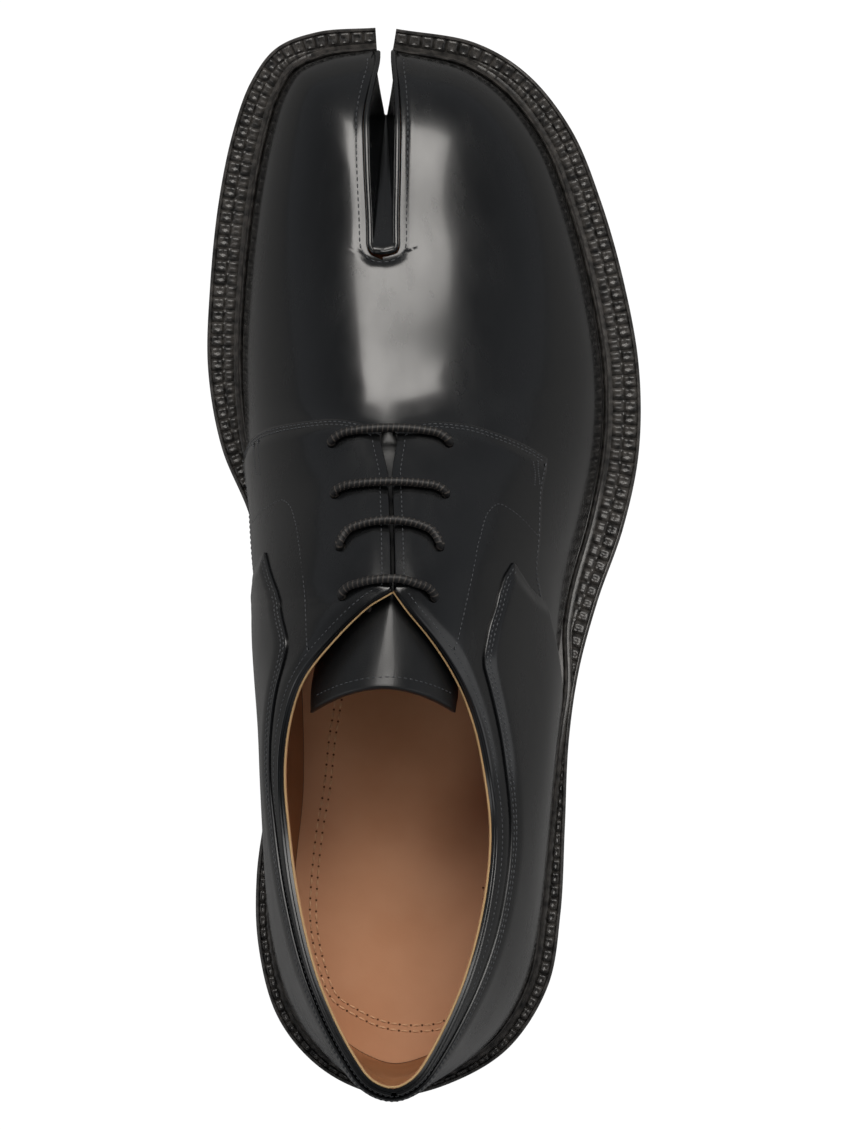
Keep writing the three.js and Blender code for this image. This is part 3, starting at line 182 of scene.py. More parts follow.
FOXING_FRONT = {
    "medial": table("level station", (0.24, 1.04), (0.32, 1.075), (0.51, 1.195)),
    "lateral": table("level station", (0.45, 0.92), (0.515, 0.955), (0.59, 1.04)),
}
LACE_HOLES = table(
    "row along medial lateral bow",
    (1, 0.603, -0.197, 0.05, 3.2), (2, 0.556, -0.189, 0.041, 2.4),
    (3, 0.509, -0.177, 0.028, 6), (4, 0.465, -0.17, 0.013, 3.8),
)
print("outline rows", len(MEDIAL_OUTLINE) + len(LATERAL_OUTLINE))

# %% [markdown]
# Reading a table gives a smooth curve that never overshoots its rows. A closed line such as
# the outline or the topline is a spline through its points, read evenly by length.


# %% Curves
def mix(a, b, t):
    return a + (b - a) * t


def ramp(x, low, high):
    t = np.clip((x - low) / (high - low), 0, 1)
    return t * t * (3 - 2 * t)


def to_x(across):
    return across * BALL_WIDTH


def to_y(along):
    return (along - 0.5) * SOLE_LENGTH


def along_of(y):
    return y / SOLE_LENGTH + 0.5


def read_table(rows, key, column):
    x = np.array([row[key] for row in rows], float)
    y = np.array([row[column] for row in rows], float)
    slope = np.diff(y) / np.diff(x)
    tangent = np.empty(len(x))
    tangent[0], tangent[-1] = slope[0], slope[-1]
    product = slope[:-1] * slope[1:]
    total = slope[:-1] + slope[1:]
    safe = np.where(product > 0, total, 1)
    tangent[1:-1] = np.where(product > 0, 2 * product / safe, 0)

    def read(place):
        at = np.clip(np.asarray(place, float), x[0], x[-1])
        i = np.clip(np.searchsorted(x, at, side="left") - 1, 0, len(x) - 2)
        step = x[i + 1] - x[i]
        u = (at - x[i]) / step
        rise = 3 * u**2 - 2 * u**3
        lead, tail = u**3 - 2 * u**2 + u, u**3 - u**2
        return mix(y[i], y[i + 1], rise) + step * (lead * tangent[i] + tail * tangent[i + 1])

    return read


def spline(points, samples):
    """A centripetal spline through the points, at samples + 1 even parameters."""
    p = np.array(points, float)
    p = np.vstack([2 * p[0] - p[1], p, 2 * p[-1] - p[-2]])
    out = []
    for t in np.linspace(0, len(points) - 1, samples + 1):
        i = min(int(t), len(points) - 2)
        w = t - i
        a, b, c, d = p[i : i + 4]
        gaps = [max(np.linalg.norm(q - r) ** 0.5, 1e-4) for q, r in ((b, a), (c, b), (d, c))]
        t1 = ((b - a) / gaps[0] - (c - a) / (gaps[0] + gaps[1]) + (c - b) / gaps[1]) * gaps[1]
        t2 = ((c - b) / gaps[1] - (d - b) / (gaps[1] + gaps[2]) + (d - c) / gaps[2]) * gaps[1]
        c2, c3 = -3 * b + 3 * c - 2 * t1 - t2, 2 * b - 2 * c + t1 + t2
        out.append(b + t1 * w + c2 * w * w + c3 * w**3)
    return np.array(out)


def lengths_of(points):
    return np.concatenate([[0], np.cumsum(np.linalg.norm(np.diff(points, axis=0), axis=1))])


def two_sided(points, middle):
    """Reads a spline from -1 through 0 at its middle point to 1, evenly by length."""
    samples = 2400
    curve = spline(points, samples)
    length = lengths_of(curve)
    centre = np.interp(middle / (len(points) - 1) * samples, np.arange(samples + 1), length)

    def read(signed):
        signed = np.asarray(signed, float)
        wanted = np.where(signed < 0, centre * (1 + signed), mix(centre, length[-1], signed))
        return np.stack([np.interp(wanted, length, curve[:, k]) for k in range(3)], -1)

    return read


outline_points = [
    (to_x(r["across"]), to_y(r["along"]), r["welt"] * WELT_WIDTH)
    for r in MEDIAL_OUTLINE[::-1] + LATERAL_OUTLINE
]
outline_curve = two_sided(outline_points, len(MEDIAL_OUTLINE) - 1)


def outline_at(share):
    share = np.clip(np.asarray(share, float), -1, 1)
    nudge = 0.002
    point = outline_curve(share)
    way = outline_curve(np.minimum(1, share + nudge)) - outline_curve(np.maximum(-1, share - nudge))
    way = way[..., :2] / np.linalg.norm(way[..., :2], axis=-1, keepdims=True)
    inward = np.stack([-way[..., 1], way[..., 0]], -1)
    return point[..., :2], inward, point[..., 2]


def side_length(side):
    return lengths_of(outline_at(side * np.linspace(0, 1, 61))[0])[-1]


OUTLINE_LENGTH = {"medial": side_length(-1), "lateral": side_length(1)}
print("outline", {k: round(v) for k, v in OUTLINE_LENGTH.items()}, "mm")

# %% [markdown]
# The long section of the sole: level under the heel, down through the waist, flat under the
# ball, rising at the toe. The crest of the last, the cleft and the facings' slit stand on it.


# %% Long section and centre line
def sole_top(y):
    heel = 1 - ramp(y, to_y(0.3), to_y(0.585))
    spring = np.maximum(0, (y - to_y(0.7)) / (to_y(1) - to_y(0.7)))
    return OUTSOLE_THICK + WELT_THICK + HEEL_RISE * heel + TOE_SPRING * spring**2


def welt_bottom(y):
    return sole_top(y) - WELT_THICK


crest_rise = read_table(CREST, "along", "rise")
cleft_half = read_table(CLEFT, "along", "half")
centre_across = read_table(CENTRE, "along", "across")
facing_half = read_table(
    table(
        "along half",
        (FACING_TOP, FACING_GAP / 2),
        (mix(FACING_TOP, THROAT, 0.66), FACING_GAP / 2),
        (mix(FACING_TOP, THROAT, 0.93), THROAT_GAP / 2),
        (THROAT, 0),
    ),
    "along",
    "half",
)


def centre_x(y):
    return to_x(centre_across(along_of(y)))


def crest_z(y):
    return sole_top(y) + INSTEP_HEIGHT * crest_rise(along_of(y))


def cleft_edge_half(y):
    opened = cleft_half(along_of(y)) * SLOT_WIDTH + GUSSET_WALL / 2 + CLEAR
    into = np.clip((y - to_y(CLEFT_END)) / opened, 0, 1)
    return opened * np.sqrt(1 - (1 - into) ** 2)


def topline_point(row):
    z = mix(sole_top(to_y(0)) + BACK_HEIGHT, crest_z(to_y(FACING_TOP)), row["front"])
    return to_x(row["across"]), to_y(row["along"]), z - COLLAR_DIP * row["dip"]


def facing_top_point(side):
    y = to_y(FACING_TOP)
    return centre_x(y) + side * FACING_GAP / 2, y, crest_z(y)


topline_curve = two_sided(
    [facing_top_point(-1)]
    + [topline_point(r) for r in MEDIAL_TOPLINE[::-1]]
    + [topline_point(BACK_TOPLINE)]
    + [topline_point(r) for r in LATERAL_TOPLINE]
    + [facing_top_point(1)],
    len(MEDIAL_TOPLINE) + 1,
)
print("collar back at", np.round(topline_curve(0), 1), "mm")


# %% [markdown]
# The last's skin. Each section is a cubic from the feather to the top; sections are counted
# in stations: 0 at the heel's back, 1 at the facings' top, 2 at the throat, 3 at the cleft's
# end and 4 at its front, medial ones negative. The handles are tabled once, eased between
# rows so that the polished leather reflects without kinks, and read for whole grids.


# %% Skin
def section_top(station):
    side, at = (-1 if station < 0 else 1), abs(station)
    if at <= 1:
        return topline_curve(station)
    if at <= 2:
        y = mix(to_y(FACING_TOP), to_y(THROAT), at - 1)
        half = 0 if at == 2 else facing_half(along_of(y))
        return np.array([centre_x(y) + side * half, y, crest_z(y)])
    if at <= 3:
        y = mix(to_y(THROAT), to_y(CLEFT_END), at - 2)
    else:
        y = mix(to_y(CLEFT_END), to_y(CLEFT_FRONT), at - 3)
    return np.array([centre_x(y), y, crest_z(y)])


def side_name(signed):
    return "medial" if signed < 0 else "lateral"


foot_share = {name: read_table(SECTION_FEET, "station", name) for name in SECTIONS}
shape = {
    name: {c: read_table(rows, "station", c) for c in ("bulge", "rise", "reach", "drop")}
    for name, rows in SECTIONS.items()
}


def section_foot(station):
    name, side, at = side_name(station), (-1 if station < 0 else 1), abs(station)
    end = 1 - (GUSSET_WALL + CLEAR) / OUTLINE_LENGTH[name]
    share = foot_share[name](at) if at <= 3 else mix(foot_share[name](3), end, at - 3)
    point, inward, welt = outline_at(side * share)
    foot = point + inward * welt
    return np.array([*foot, sole_top(foot[1]) + CLEAR]), np.array([*-inward, 0])


def section_handles(station):
    name, at = side_name(station), abs(station)
    foot, outward = section_foot(station)
    top = section_top(station)
    height = top[2] - foot[2]
    across = np.array([foot[0] - top[0], foot[1] - top[1], 0])
    across /= np.linalg.norm(across)
    leaving = mix(outward, across, ramp(at, 0.6, 1))
    leaving /= np.linalg.norm(leaving)
    low = foot + outward * shape[name]["bulge"](at) * BALL_WIDTH
    low[2] += shape[name]["rise"](at) * height
    reach = shape[name]["reach"](at) * BALL_WIDTH
    slope = crest_z(top[1] + 0.5) - crest_z(top[1] - 0.5)
    high = top + leaving * reach
    high[2] += slope * leaving[1] * reach * ramp(at, 0.8, 1.1) - shape[name]["drop"](at) * height
    return np.array([foot, low, high, top])


def cubic(handles, u):
    v = 1 - u
    f, lo, hi, t = handles
    return f * v**3 + lo * 3 * v * v * u + hi * 3 * v * u * u + t * u**3


def cut_share(station, handles):
    if abs(station) <= 3:
        return 1.0
    low, high = 0.0, 1.0
    for _ in range(24):
        middle = (low + high) / 2
        point = cubic(handles, middle)
        if abs(point[0] - centre_x(point[1])) > cleft_edge_half(point[1]):
            low = middle
        else:
            high = middle
    return high


STATION_GAP = 0.005
table_stations = np.arange(-4, 4 + STATION_GAP / 2, STATION_GAP)
handle_table = np.array([section_handles(float(round(s, 4))) for s in table_stations])


def eased(values, width):
    reach = int(3 * width / STATION_GAP)
    bell = np.exp(-0.5 * (np.arange(-reach, reach + 1) * STATION_GAP / width) ** 2)
    bell /= bell.sum()
    padded = np.pad(values, ((reach, reach), (0, 0)), mode="reflect", reflect_type="odd")
    return np.stack([np.convolve(padded[:, k], bell, "valid") for k in range(3)], -1)


low_reach = eased(handle_table[:, 1] - handle_table[:, 0], 0.075)
high_reach = eased(handle_table[:, 2] - handle_table[:, 3], 0.075)
handle_table[:, 1] = handle_table[:, 0] + low_reach
handle_table[:, 2] = handle_table[:, 3] + high_reach
cut_table = np.array([cut_share(s, h) for s, h in zip(table_stations, handle_table)])


def sheet(station, u):
    """The whole section's curve, before the cleft is cut out: u is 0 at the foot, 1 on top."""
    place = (np.clip(station, -4, 4) + 4) / STATION_GAP
    i = np.clip(place.astype(int), 0, len(table_stations) - 2)
    w = place - i
    handles = mix(handle_table[i], handle_table[i + 1], w[..., None, None])
    u = u[..., None]
    v = 1 - u
    return (
        handles[..., 0, :] * v**3
        + handles[..., 1, :] * 3 * v * v * u
        + handles[..., 2, :] * 3 * v * u * u
        + handles[..., 3, :] * u**3
    )


SOFTENING = 0.04
TIP_ROUND, TIP_SLOPE, TIP_FADE = 2.2, 0.45, 5


def tip_rounded(points):
    """The points round the cleft's tip are moved forward a little, so that its end is a U."""
    x = np.abs(points[..., 0] - centre_x(points[..., 1]))
    away = np.hypot(x, points[..., 1] - to_y(CLEFT_END)) / TIP_FADE
    forward = TIP_SLOPE * (np.sqrt(x**2 + TIP_ROUND**2) - x) * np.exp(-(away**2))
    return points + forward[..., None] * np.array([0, 1, 0])


def eased_sheet(station, u):
    """The sheet eased from section to section, but exact at its foot, its rim and the cleft."""
    inner = ramp(1 - u, 0, 0.25) * ramp(u, 0, 0.1)
    reach = SOFTENING * inner * (1 - ramp(np.abs(station), 2.6, 2.9))
    total = 0
    for step, weight in ((-2, 1), (-1, 4), (0, 6), (1, 4), (2, 1)):
        total = total + sheet(station + step * reach, u) * (weight / 16)
    return tip_rounded(total)


def left_by_cleft(station):
    return np.interp(station, table_stations, cut_table)


def skin(station, level):
    station, level = np.broadcast_arrays(np.asarray(station, float), np.asarray(level, float))
    return eased_sheet(station, level * left_by_cleft(station))


def raw_normal(station, level):
    at = np.clip(station, -4 + 0.01, 4 - 0.01)
    u = level * left_by_cleft(at)
    ahead = eased_sheet(at + 0.01, u)
    behind = eased_sheet(at - 0.01, u)
    high = eased_sheet(at, np.minimum(1, u + 0.01))
    low = eased_sheet(at, np.maximum(0, u - 0.01))
    n = np.cross(ahead - behind, high - low)
    return n / np.maximum(np.linalg.norm(n, axis=-1, keepdims=True), 1e-9)


def skin_normal(station, level):
    station, level = np.broadcast_arrays(np.asarray(station, float), np.asarray(level, float))
    n = raw_normal(station, level)
    at = np.abs(station)
    crest = (level >= 1) & (at >= 2) & (at <= 3)
    n = np.where(crest[..., None], n + raw_normal(-station, level), n)
    flat = crest | (at >= 4) | ((level >= 1) & (at > 3))
    n[..., 0] = np.where(flat, 0, n[..., 0])
    n[..., 2] *= np.minimum(1, level * LEVELS)
    return n / np.linalg.norm(n, axis=-1, keepdims=True)


print("skin tabled at", len(table_stations), "stations")

# %% [markdown]
# The marks of making and wear, listed in the shoe's own sizes: shallow dents where
# the quarters pull on the vamp, soft flats beside the cleft, and a long hollow under each
# ankle. Each is a place on the skin, its depth in millimetres and its spread.

# %% Dents and creases
CREASES = table(
    "station level depth wide tall",
    (2.12, 0.9, 0.22, 0.09, 0.16), (-2.14, 0.88, 0.2, 0.1, 0.15), (2.3, 0.72, -0.12, 0.12, 0.14),
    (-2.28, 0.74, -0.1, 0.12, 0.13), (1.62, 0.72, 0.25, 0.12, 0.1), (-1.6, 0.7, 0.22, 0.12, 0.1),
    (1.3, 0.8, 0.25, 0.1, 0.08), (-1.32, 0.82, 0.22, 0.1, 0.08), (0.8, 0.6, 0.3, 0.16, 0.14),
    (-0.82, 0.62, 0.28, 0.16, 0.14), (2.75, 0.55, 0.12, 0.14, 0.12), (-2.7, 0.5, 0.1, 0.14, 0.12),
)


def dent(station, level):
    total = np.zeros(np.broadcast(station, level).shape)
    for row in CREASES:
        across = ((station - row["station"]) / row["wide"]) ** 2
        up = ((level - row["level"]) / row["tall"]) ** 2
        total = total - row["depth"] * np.exp(-across - up)
    return total * ramp(level, 0, 0.15) * (1 - ramp(level, 0.93, 1))


GROOVE_DEPTH, GROOVE_START, GROOVE_END = 0.8, 0.9, 3.2
lip_stations = 3 + np.linspace(0, 1, 90) ** 2
cleft_lip = np.concatenate([skin(-lip_stations[::-1], np.ones(90)), skin(lip_stations, np.ones(90))])


def groove(points):
    """How far the vamp is drawn down beside the cleft's lip."""
    depth = np.zeros(points.shape[:-1])
    near = points[..., 1] > to_y(CLEFT_END) - 2 * GROOVE_END
    away = np.array([np.linalg.norm(cleft_lip - p, axis=1).min() for p in points[near]])
    depth[near] = GROOVE_DEPTH * (1 - ramp(away, GROOVE_START, GROOVE_END))
    return depth


def off_skin(station, level, distance):
    normal = skin_normal(station, level)
    points = skin(station, level)
    lift = np.asarray(distance) + dent(station, level) - groove(points)
    return points + normal * lift[..., None]


print("creases", len(CREASES))


# %% [markdown]
# Making meshes. A wall is a sheet between two grids of points, closed along its open edges.
# The grids of leather pieces have close rows at their edges, set down along an arc, because
# cut leather is skived and polished round on the real shoe.


# %% Mesh helpers
def linked(name, mesh):
    piece = bpy.data.objects.new(name, mesh)
    bpy.context.scene.collection.objects.link(piece)
    return piece


def mesh_object(name, points, faces):
    mesh = bpy.data.meshes.new(name)
    mesh.from_pydata((np.asarray(points) * MM).tolist(), [], faces)
    mesh.validate()
    return linked(name, mesh)


def from_bmesh(name, bm):
    mesh = bpy.data.meshes.new(name)
    bm.to_mesh(mesh)
    bm.free()
    return linked(name, mesh)


def clean(piece, weld=0.004):
    bm = bmesh.new()
    bm.from_mesh(piece.data)
    bmesh.ops.remove_doubles(bm, verts=bm.verts, dist=weld * MM)
    bmesh.ops.dissolve_degenerate(bm, edges=bm.edges, dist=weld * MM)
    loose = [v for v in bm.verts if not v.link_faces]
    bmesh.ops.delete(bm, geom=loose, context="VERTS")
    bmesh.ops.recalc_face_normals(bm, faces=bm.faces)
    bm.to_mesh(piece.data)
    bm.free()
    return piece


def grid_faces(rows, columns, start=0, closed=False):
    faces = []
    for i in range(rows - 1):
        for j in range(columns if closed else columns - 1):
            k = (j + 1) % columns
            a, b = start + i * columns + j, start + i * columns + k
            faces.append((a, b, b + columns, a + columns))
    return faces


def wall(name, outer, inner):
    """A closed sheet between two grids; only its open edges get a rim."""
    rows, columns = outer.shape[:2]
    far = rows * columns
    first = {}
    same = [first.setdefault(tuple(np.round(p, 3)), i) for i, p in enumerate(outer.reshape(-1, 3))]
    faces = []
    for face in grid_faces(rows, columns):
        kept = tuple(dict.fromkeys(same[i] for i in face))
        if len(kept) > 2:
            faces.append(kept)
    edges = dict.fromkeys((a, b) for f in faces for a, b in zip(f, f[1:] + f[:1]))
    rims = [(b, a, a + far, b + far) for a, b in edges if (b, a) not in edges]
    backs = [tuple(v + far for v in reversed(face)) for face in faces]
    points = np.concatenate([outer.reshape(-1, 3), inner.reshape(-1, 3)])
    return clean(mesh_object(name, points, faces + backs + rims))


def smooth(piece):
    piece.data.polygons.foreach_set("use_smooth", [True] * len(piece.data.polygons))
    piece.data.update()


ROUNDING = np.array([0, 0.03, 0.1, 0.2, 0.34])


def with_rims(even, length, low=True):
    """Even steps from 0 to 1, with close rows for a rounded edge at the ends."""
    near = ROUNDING / length
    kept = even[even < 1 - near[-1] * 1.5]
    start = near if low else []
    if low:
        kept = kept[kept > near[-1] * 1.5]
    return np.concatenate([start, kept, 1 - near[::-1]])


def edge_distance(points, edges):
    """Millimetres from each point of a grid to the nearest of its named edges."""
    across = np.linalg.norm(np.diff(points, axis=0), axis=2)
    up = np.linalg.norm(np.diff(points, axis=1), axis=2)
    run_a = np.vstack([np.zeros((1, points.shape[1])), np.cumsum(across, axis=0)])
    run_b = np.hstack([np.zeros((points.shape[0], 1)), np.cumsum(up, axis=1)])
    away = dict(start=run_a, end=run_a[-1] - run_a, low=run_b, high=run_b[:, -1:] - run_b)
    return np.min([away[name] for name in edges], axis=0)


def round_drop(distance, radius):
    into = radius - np.minimum(distance, radius)
    return radius - np.sqrt(np.maximum(0, radius**2 - into**2))


def shaded(piece, angle=42):
    smooth(piece)
    piece.data.set_sharp_from_angle(angle=math.radians(angle))


def rounded(piece, width, segments, angle=50):
    bevel = piece.modifiers.new("rounded edges", "BEVEL")
    bevel.width = width * MM
    bevel.segments = segments
    bevel.limit_method = "ANGLE"
    bevel.angle_limit = math.radians(angle)
    bevel.use_clamp_overlap = True
    smooth(piece)
    weighted = piece.modifiers.new("even shading", "WEIGHTED_NORMAL")
    weighted.keep_sharp = True


def cut(piece, cutter):
    """Takes the cutter away from the piece's own mesh."""
    bpy.context.view_layer.update()
    boolean = piece.modifiers.new("cut", "BOOLEAN")
    boolean.operation = "DIFFERENCE"
    boolean.solver = "EXACT"
    boolean.object = cutter
    graph = bpy.context.evaluated_depsgraph_get()
    graph.update()
    mesh = bpy.data.meshes.new_from_object(piece.evaluated_get(graph))
    piece.modifiers.clear()
    piece.data = mesh


def tube(name, path, radius, sides):
    """A round cord along a path, with the length in millimetres and the turn as its UV."""
    path = np.asarray(path, float)
    way = np.gradient(path, axis=0)
    way /= np.linalg.norm(way, axis=1, keepdims=True)
    aside = np.cross(way[0], (0, 0, 1))
    rings = []
    turn = np.linspace(0, 2 * math.pi, sides, endpoint=False)
    for place, w in zip(path, way):
        aside = aside - w * aside.dot(w)
        aside = aside / np.linalg.norm(aside)
        other = np.cross(w, aside)
        round_it = np.outer(np.cos(turn), aside) + np.outer(np.sin(turn), other)
        rings.append(place + radius * round_it)
    points = np.concatenate(rings)
    faces = grid_faces(len(path), sides, closed=True)
    last = (len(path) - 1) * sides
    faces.append(tuple(range(sides)))
    faces.append(tuple(last + k for k in reversed(range(sides))))
    piece = mesh_object(name, points, faces)
    length = lengths_of(path)
    layer = piece.data.uv_layers.new(name="cord")
    for face in piece.data.polygons:
        turns = [v % sides for v in face.vertices]
        wraps = max(turns) - min(turns) > sides / 2 and len(turns) == 4
        for loop, v, k in zip(face.loop_indices, face.vertices, turns):
            across = (k + sides if wraps and k == 0 else k) / sides
            layer.data[loop].uv = (length[v // sides], across)
    bm = bmesh.new()
    bm.from_mesh(piece.data)
    bmesh.ops.recalc_face_normals(bm, faces=bm.faces)
    bm.to_mesh(piece.data)
    bm.free()
    smooth(piece)
    return piece


print("helpers ready")

# %% [markdown]
# Materials are procedural. Colours are sRGB hex values turned to linear by one function; a
# small function adds and links nodes. Pattern sizes come from real millimetres.


# %% Material helpers
def linear(hex_value, alpha=1.0):
    parts = [int(hex_value[i : i + 2], 16) / 255 for i in (1, 3, 5)]
    lin = [c / 12.92 if c <= 0.04045 else ((c + 0.055) / 1.055) ** 2.4 for c in parts]
    return (*lin, alpha)


def node(tree, kind, inputs=None, **props):
    n = tree.nodes.new(kind)
    for key, value in props.items():
        setattr(n, key, value)
    for key, value in (inputs or {}).items():
        if isinstance(value, bpy.types.NodeSocket):
            tree.links.new(value, n.inputs[key])
        else:
            n.inputs[key].default_value = value
    return n


def new_material(name, colour, roughness, **shader):
    material = bpy.data.materials.new(name)
    material.use_nodes = True
    tree = material.node_tree
    bsdf = tree.nodes["Principled BSDF"]
    bsdf.inputs["Base Color"].default_value = linear(colour)
    bsdf.inputs["Roughness"].default_value = roughness
    for key, value in shader.items():
        bsdf.inputs[key.replace("_", " ")].default_value = value
    material.diffuse_color = linear(colour)
    return material, tree, bsdf


def grain(tree, bsdf, size_mm, depth_mm, kind="noise", strength=0.5):
    """Fine relief of a given cell size and depth, on object coordinates."""
    place = node(tree, "ShaderNodeTexCoord").outputs["Object"]
    scale = 1 / (size_mm * MM)
    if kind == "cells":
        texture = node(
            tree, "ShaderNodeTexVoronoi", {"Vector": place, "Scale": scale},
            feature="DISTANCE_TO_EDGE",
        )
        height = texture.outputs["Distance"]
    else:
        texture = node(
            tree, "ShaderNodeTexNoise", {"Vector": place, "Scale": scale, "Detail": 3.0}
        )
        height = texture.outputs[0]
    bump = node(
        tree, "ShaderNodeBump",
        {"Height": height, "Distance": depth_mm * MM, "Strength": strength},
    )
    tree.links.new(bump.outputs["Normal"], bsdf.inputs["Normal"])


def mottled(tree, bsdf, low_hex, high_hex, size_mm, low=0.35, high=0.65):
    """Two close colours in soft patches of a given size."""
    place = node(tree, "ShaderNodeTexCoord").outputs["Object"]
    patches = node(
        tree, "ShaderNodeTexNoise", {"Vector": place, "Scale": 1 / (size_mm * MM), "Detail": 4.0}
    )
    colours = node(tree, "ShaderNodeValToRGB", {"Fac": patches.outputs[0]})
    colours.color_ramp.elements[0].position = low
    colours.color_ramp.elements[0].color = linear(low_hex)
    colours.color_ramp.elements[1].position = high
    colours.color_ramp.elements[1].color = linear(high_hex)
    tree.links.new(colours.outputs["Color"], bsdf.inputs["Base Color"])


def scuffed(tree, bsdf, size_mm, low, high):
    """Gloss that varies: polish worn and fingered in patches and fine long scuffs."""
    place = node(tree, "ShaderNodeTexCoord").outputs["Object"]
    stretched = node(tree, "ShaderNodeMapping", {"Vector": place, "Scale": (1, 0.3, 1)})
    scuffs = node(
        tree, "ShaderNodeTexNoise",
        {"Vector": stretched.outputs[0], "Scale": 1 / (size_mm * MM), "Detail": 6.0,
         "Roughness": 0.6},
    )
    gloss = node(
        tree, "ShaderNodeMapRange",
        {"Value": scuffs.outputs[0], "From Min": 0.35, "From Max": 0.75, "To Min": low,
         "To Max": high},
    )
    tree.links.new(gloss.outputs[0], bsdf.inputs["Roughness"])


print("material helpers ready")

# %% [markdown]
# The upper's leather is box calf brushed to a high polish: near black, very smooth, with a
# clear waxy coat and faint scuffs. The tongue is duller. Lining and insole are tan leather,
# the insole smooth and paler, and every raw cut edge of the tan lining is paler still.
# Gloss that varies in patches tells the eye of polish put on by hand. Grain and scuffs are
# drawn coarser than real ones, which would be too fine to show from this distance.

# %% Leathers
polished, tree, bsdf = new_material(
    "polished black leather", "#0b0c0d", 0.2, Coat_Weight=0.3, Coat_Roughness=0.12
)
scuffed(tree, bsdf, 9, 0.2, 0.32)
grain(tree, bsdf, 0.9, 0.01, strength=0.3)

tongue_black, tree, bsdf = new_material("tongue leather", "#0b0c0d", 0.42, Coat_Weight=0.1)
scuffed(tree, bsdf, 6, 0.36, 0.5)
grain(tree, bsdf, 0.8, 0.05, kind="cells")

insole_tan, tree, bsdf = new_material("insole leather", "#b9865f", 0.55)
mottled(tree, bsdf, "#c08a64", "#cf9c78", 38)
grain(tree, bsdf, 0.7, 0.04)

lining_tan, tree, bsdf = new_material("lining leather", "#9a6840", 0.6)
mottled(tree, bsdf, "#8f5f39", "#a87550", 26)
grain(tree, bsdf, 0.8, 0.05)

raw_edge, tree, bsdf = new_material("raw tan edge", "#b39468", 0.75)
grain(tree, bsdf, 0.4, 0.05)

print("leathers ready")

# %% [markdown]
# The sole and heel are black rubber; the storm welt is moulded, with a slight sheen that
# picks out its blocks. Thread is waxed, the lace a round black waxed cord; a painted glint,
# pale on its strands' crests, follows the cord's length and turn, so it winds round it. The
# thread is a shade paler than its black dye: a painted sheen for the light its wax catches.

# %% Rubber, thread and cord
rubber, tree, bsdf = new_material("sole rubber", "#19191a", 0.55)
grain(tree, bsdf, 0.5, 0.03)

welt_rubber, tree, bsdf = new_material("welt rubber", "#262524", 0.32)
mottled(tree, bsdf, "#1d1c1b", "#45423f", 2.2)
grain(tree, bsdf, 0.45, 0.05)

lift_rubber, tree, bsdf = new_material("heel lift rubber", "#131314", 0.6)
grain(tree, bsdf, 0.4, 0.04)

# The thread's grey is a painted sheen: its dye is black, and the paleness stands for the light its
# wax catches.
black_thread, tree, bsdf = new_material("black thread", "#3b3d40", 0.45)
grain(tree, bsdf, 0.25, 0.05)

tan_thread, tree, bsdf = new_material("tan thread", "#d3a882", 0.6)
grain(tree, bsdf, 0.25, 0.05)

# Painted shade: the dark of the shade inside a needle hole.
needle_hole_shade, tree, bsdf = new_material("needle hole", "#5a3820", 0.9)

cord_black, tree, bsdf = new_material("waxed cord", "#100f0f", 0.55)
run = node(tree, "ShaderNodeUVMap", uv_map="cord").outputs[0]
parts = node(tree, "ShaderNodeSeparateXYZ", {"Vector": run})
turned = node(
    tree, "ShaderNodeMath",
    {0: parts.outputs["X"], 1: parts.outputs["Y"]}, operation="ADD",
)
STRAND_PITCH = 1.4
wave = node(
    tree, "ShaderNodeMath",
    {0: turned.outputs[0], 1: 2 * math.pi / STRAND_PITCH}, operation="MULTIPLY",
)
sine = node(tree, "ShaderNodeMath", {0: wave.outputs[0]}, operation="SINE")
# The pale colour on the strands' crests is a painted glint; the cord itself is black.
strand_glint = node(
    tree, "ShaderNodeMapRange",
    {"Value": sine.outputs[0], "From Min": 0.72, "From Max": 1.0, "To Min": 0.0, "To Max": 1.0},
)
tint = node(tree, "ShaderNodeMix", {0: strand_glint.outputs[0]}, data_type="RGBA")
tint.inputs["A"].default_value = linear("#0e0d0d")
tint.inputs["B"].default_value = linear("#48423d")
tree.links.new(tint.outputs["Result"], bsdf.inputs["Base Color"])
strands = node(
    tree, "ShaderNodeBump", {"Height": sine.outputs[0], "Distance": 0.1 * MM, "Strength": 0.3}
)
tree.links.new(strands.outputs["Normal"], bsdf.inputs["Normal"])
print("rubbers and cord ready")


# %% [markdown]
# Every finished piece rides on the shoe's one body and stands for its CAD node.


# %% Finishing a piece
def finish(piece, slot, replaces=(), *materials):
    piece.name = piece.name.replace(" ", "_")
    for material in materials:
        piece.data.materials.append(material)
    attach(piece, "root")
    if replaces:
        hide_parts(*replaces)
    triangles = sum(len(p.vertices) - 2 for p in piece.data.polygons)
    print(piece.name, triangles, "triangles")
    return piece


def side_stations(collar, facing, vamp, cleft):
    even = [np.linspace(0, 1, n, endpoint=False) for n in (collar, facing, vamp)]
    last = 3 + np.linspace(0, 1, cleft) ** 1.8
    return np.concatenate([even[0] ** 1.15, 1 + even[1], 2 + even[2], last])


# %% [markdown]
# The upper itself is cut from one hide and lasted over the form: it shows as the vamp with
# its two toe lobes. It is built as an outer leather and a tan lining that lie on each other.
# One thick wall with a painted inside would be simpler, but the collar and the lace holes
# would then show no layers where the eye looks into them.

# %% Upper leather and lining
side = side_stations(86, 44, 44, 64)
around = np.concatenate([-side[:0:-1], side])
levels = with_rims(np.linspace(0, 1, 51), 70, low=False)
S, L = np.meshgrid(around, levels, indexing="ij")
away = edge_distance(skin(S, L), ("high",))
away = np.where((np.abs(S) > 1.97) & (np.abs(S) <= 3), 9, away)
leather = wall(
    "upper leather", off_skin(S, L, -round_drop(away, 0.3)), off_skin(S, L, -LEATHER_WALL)
)

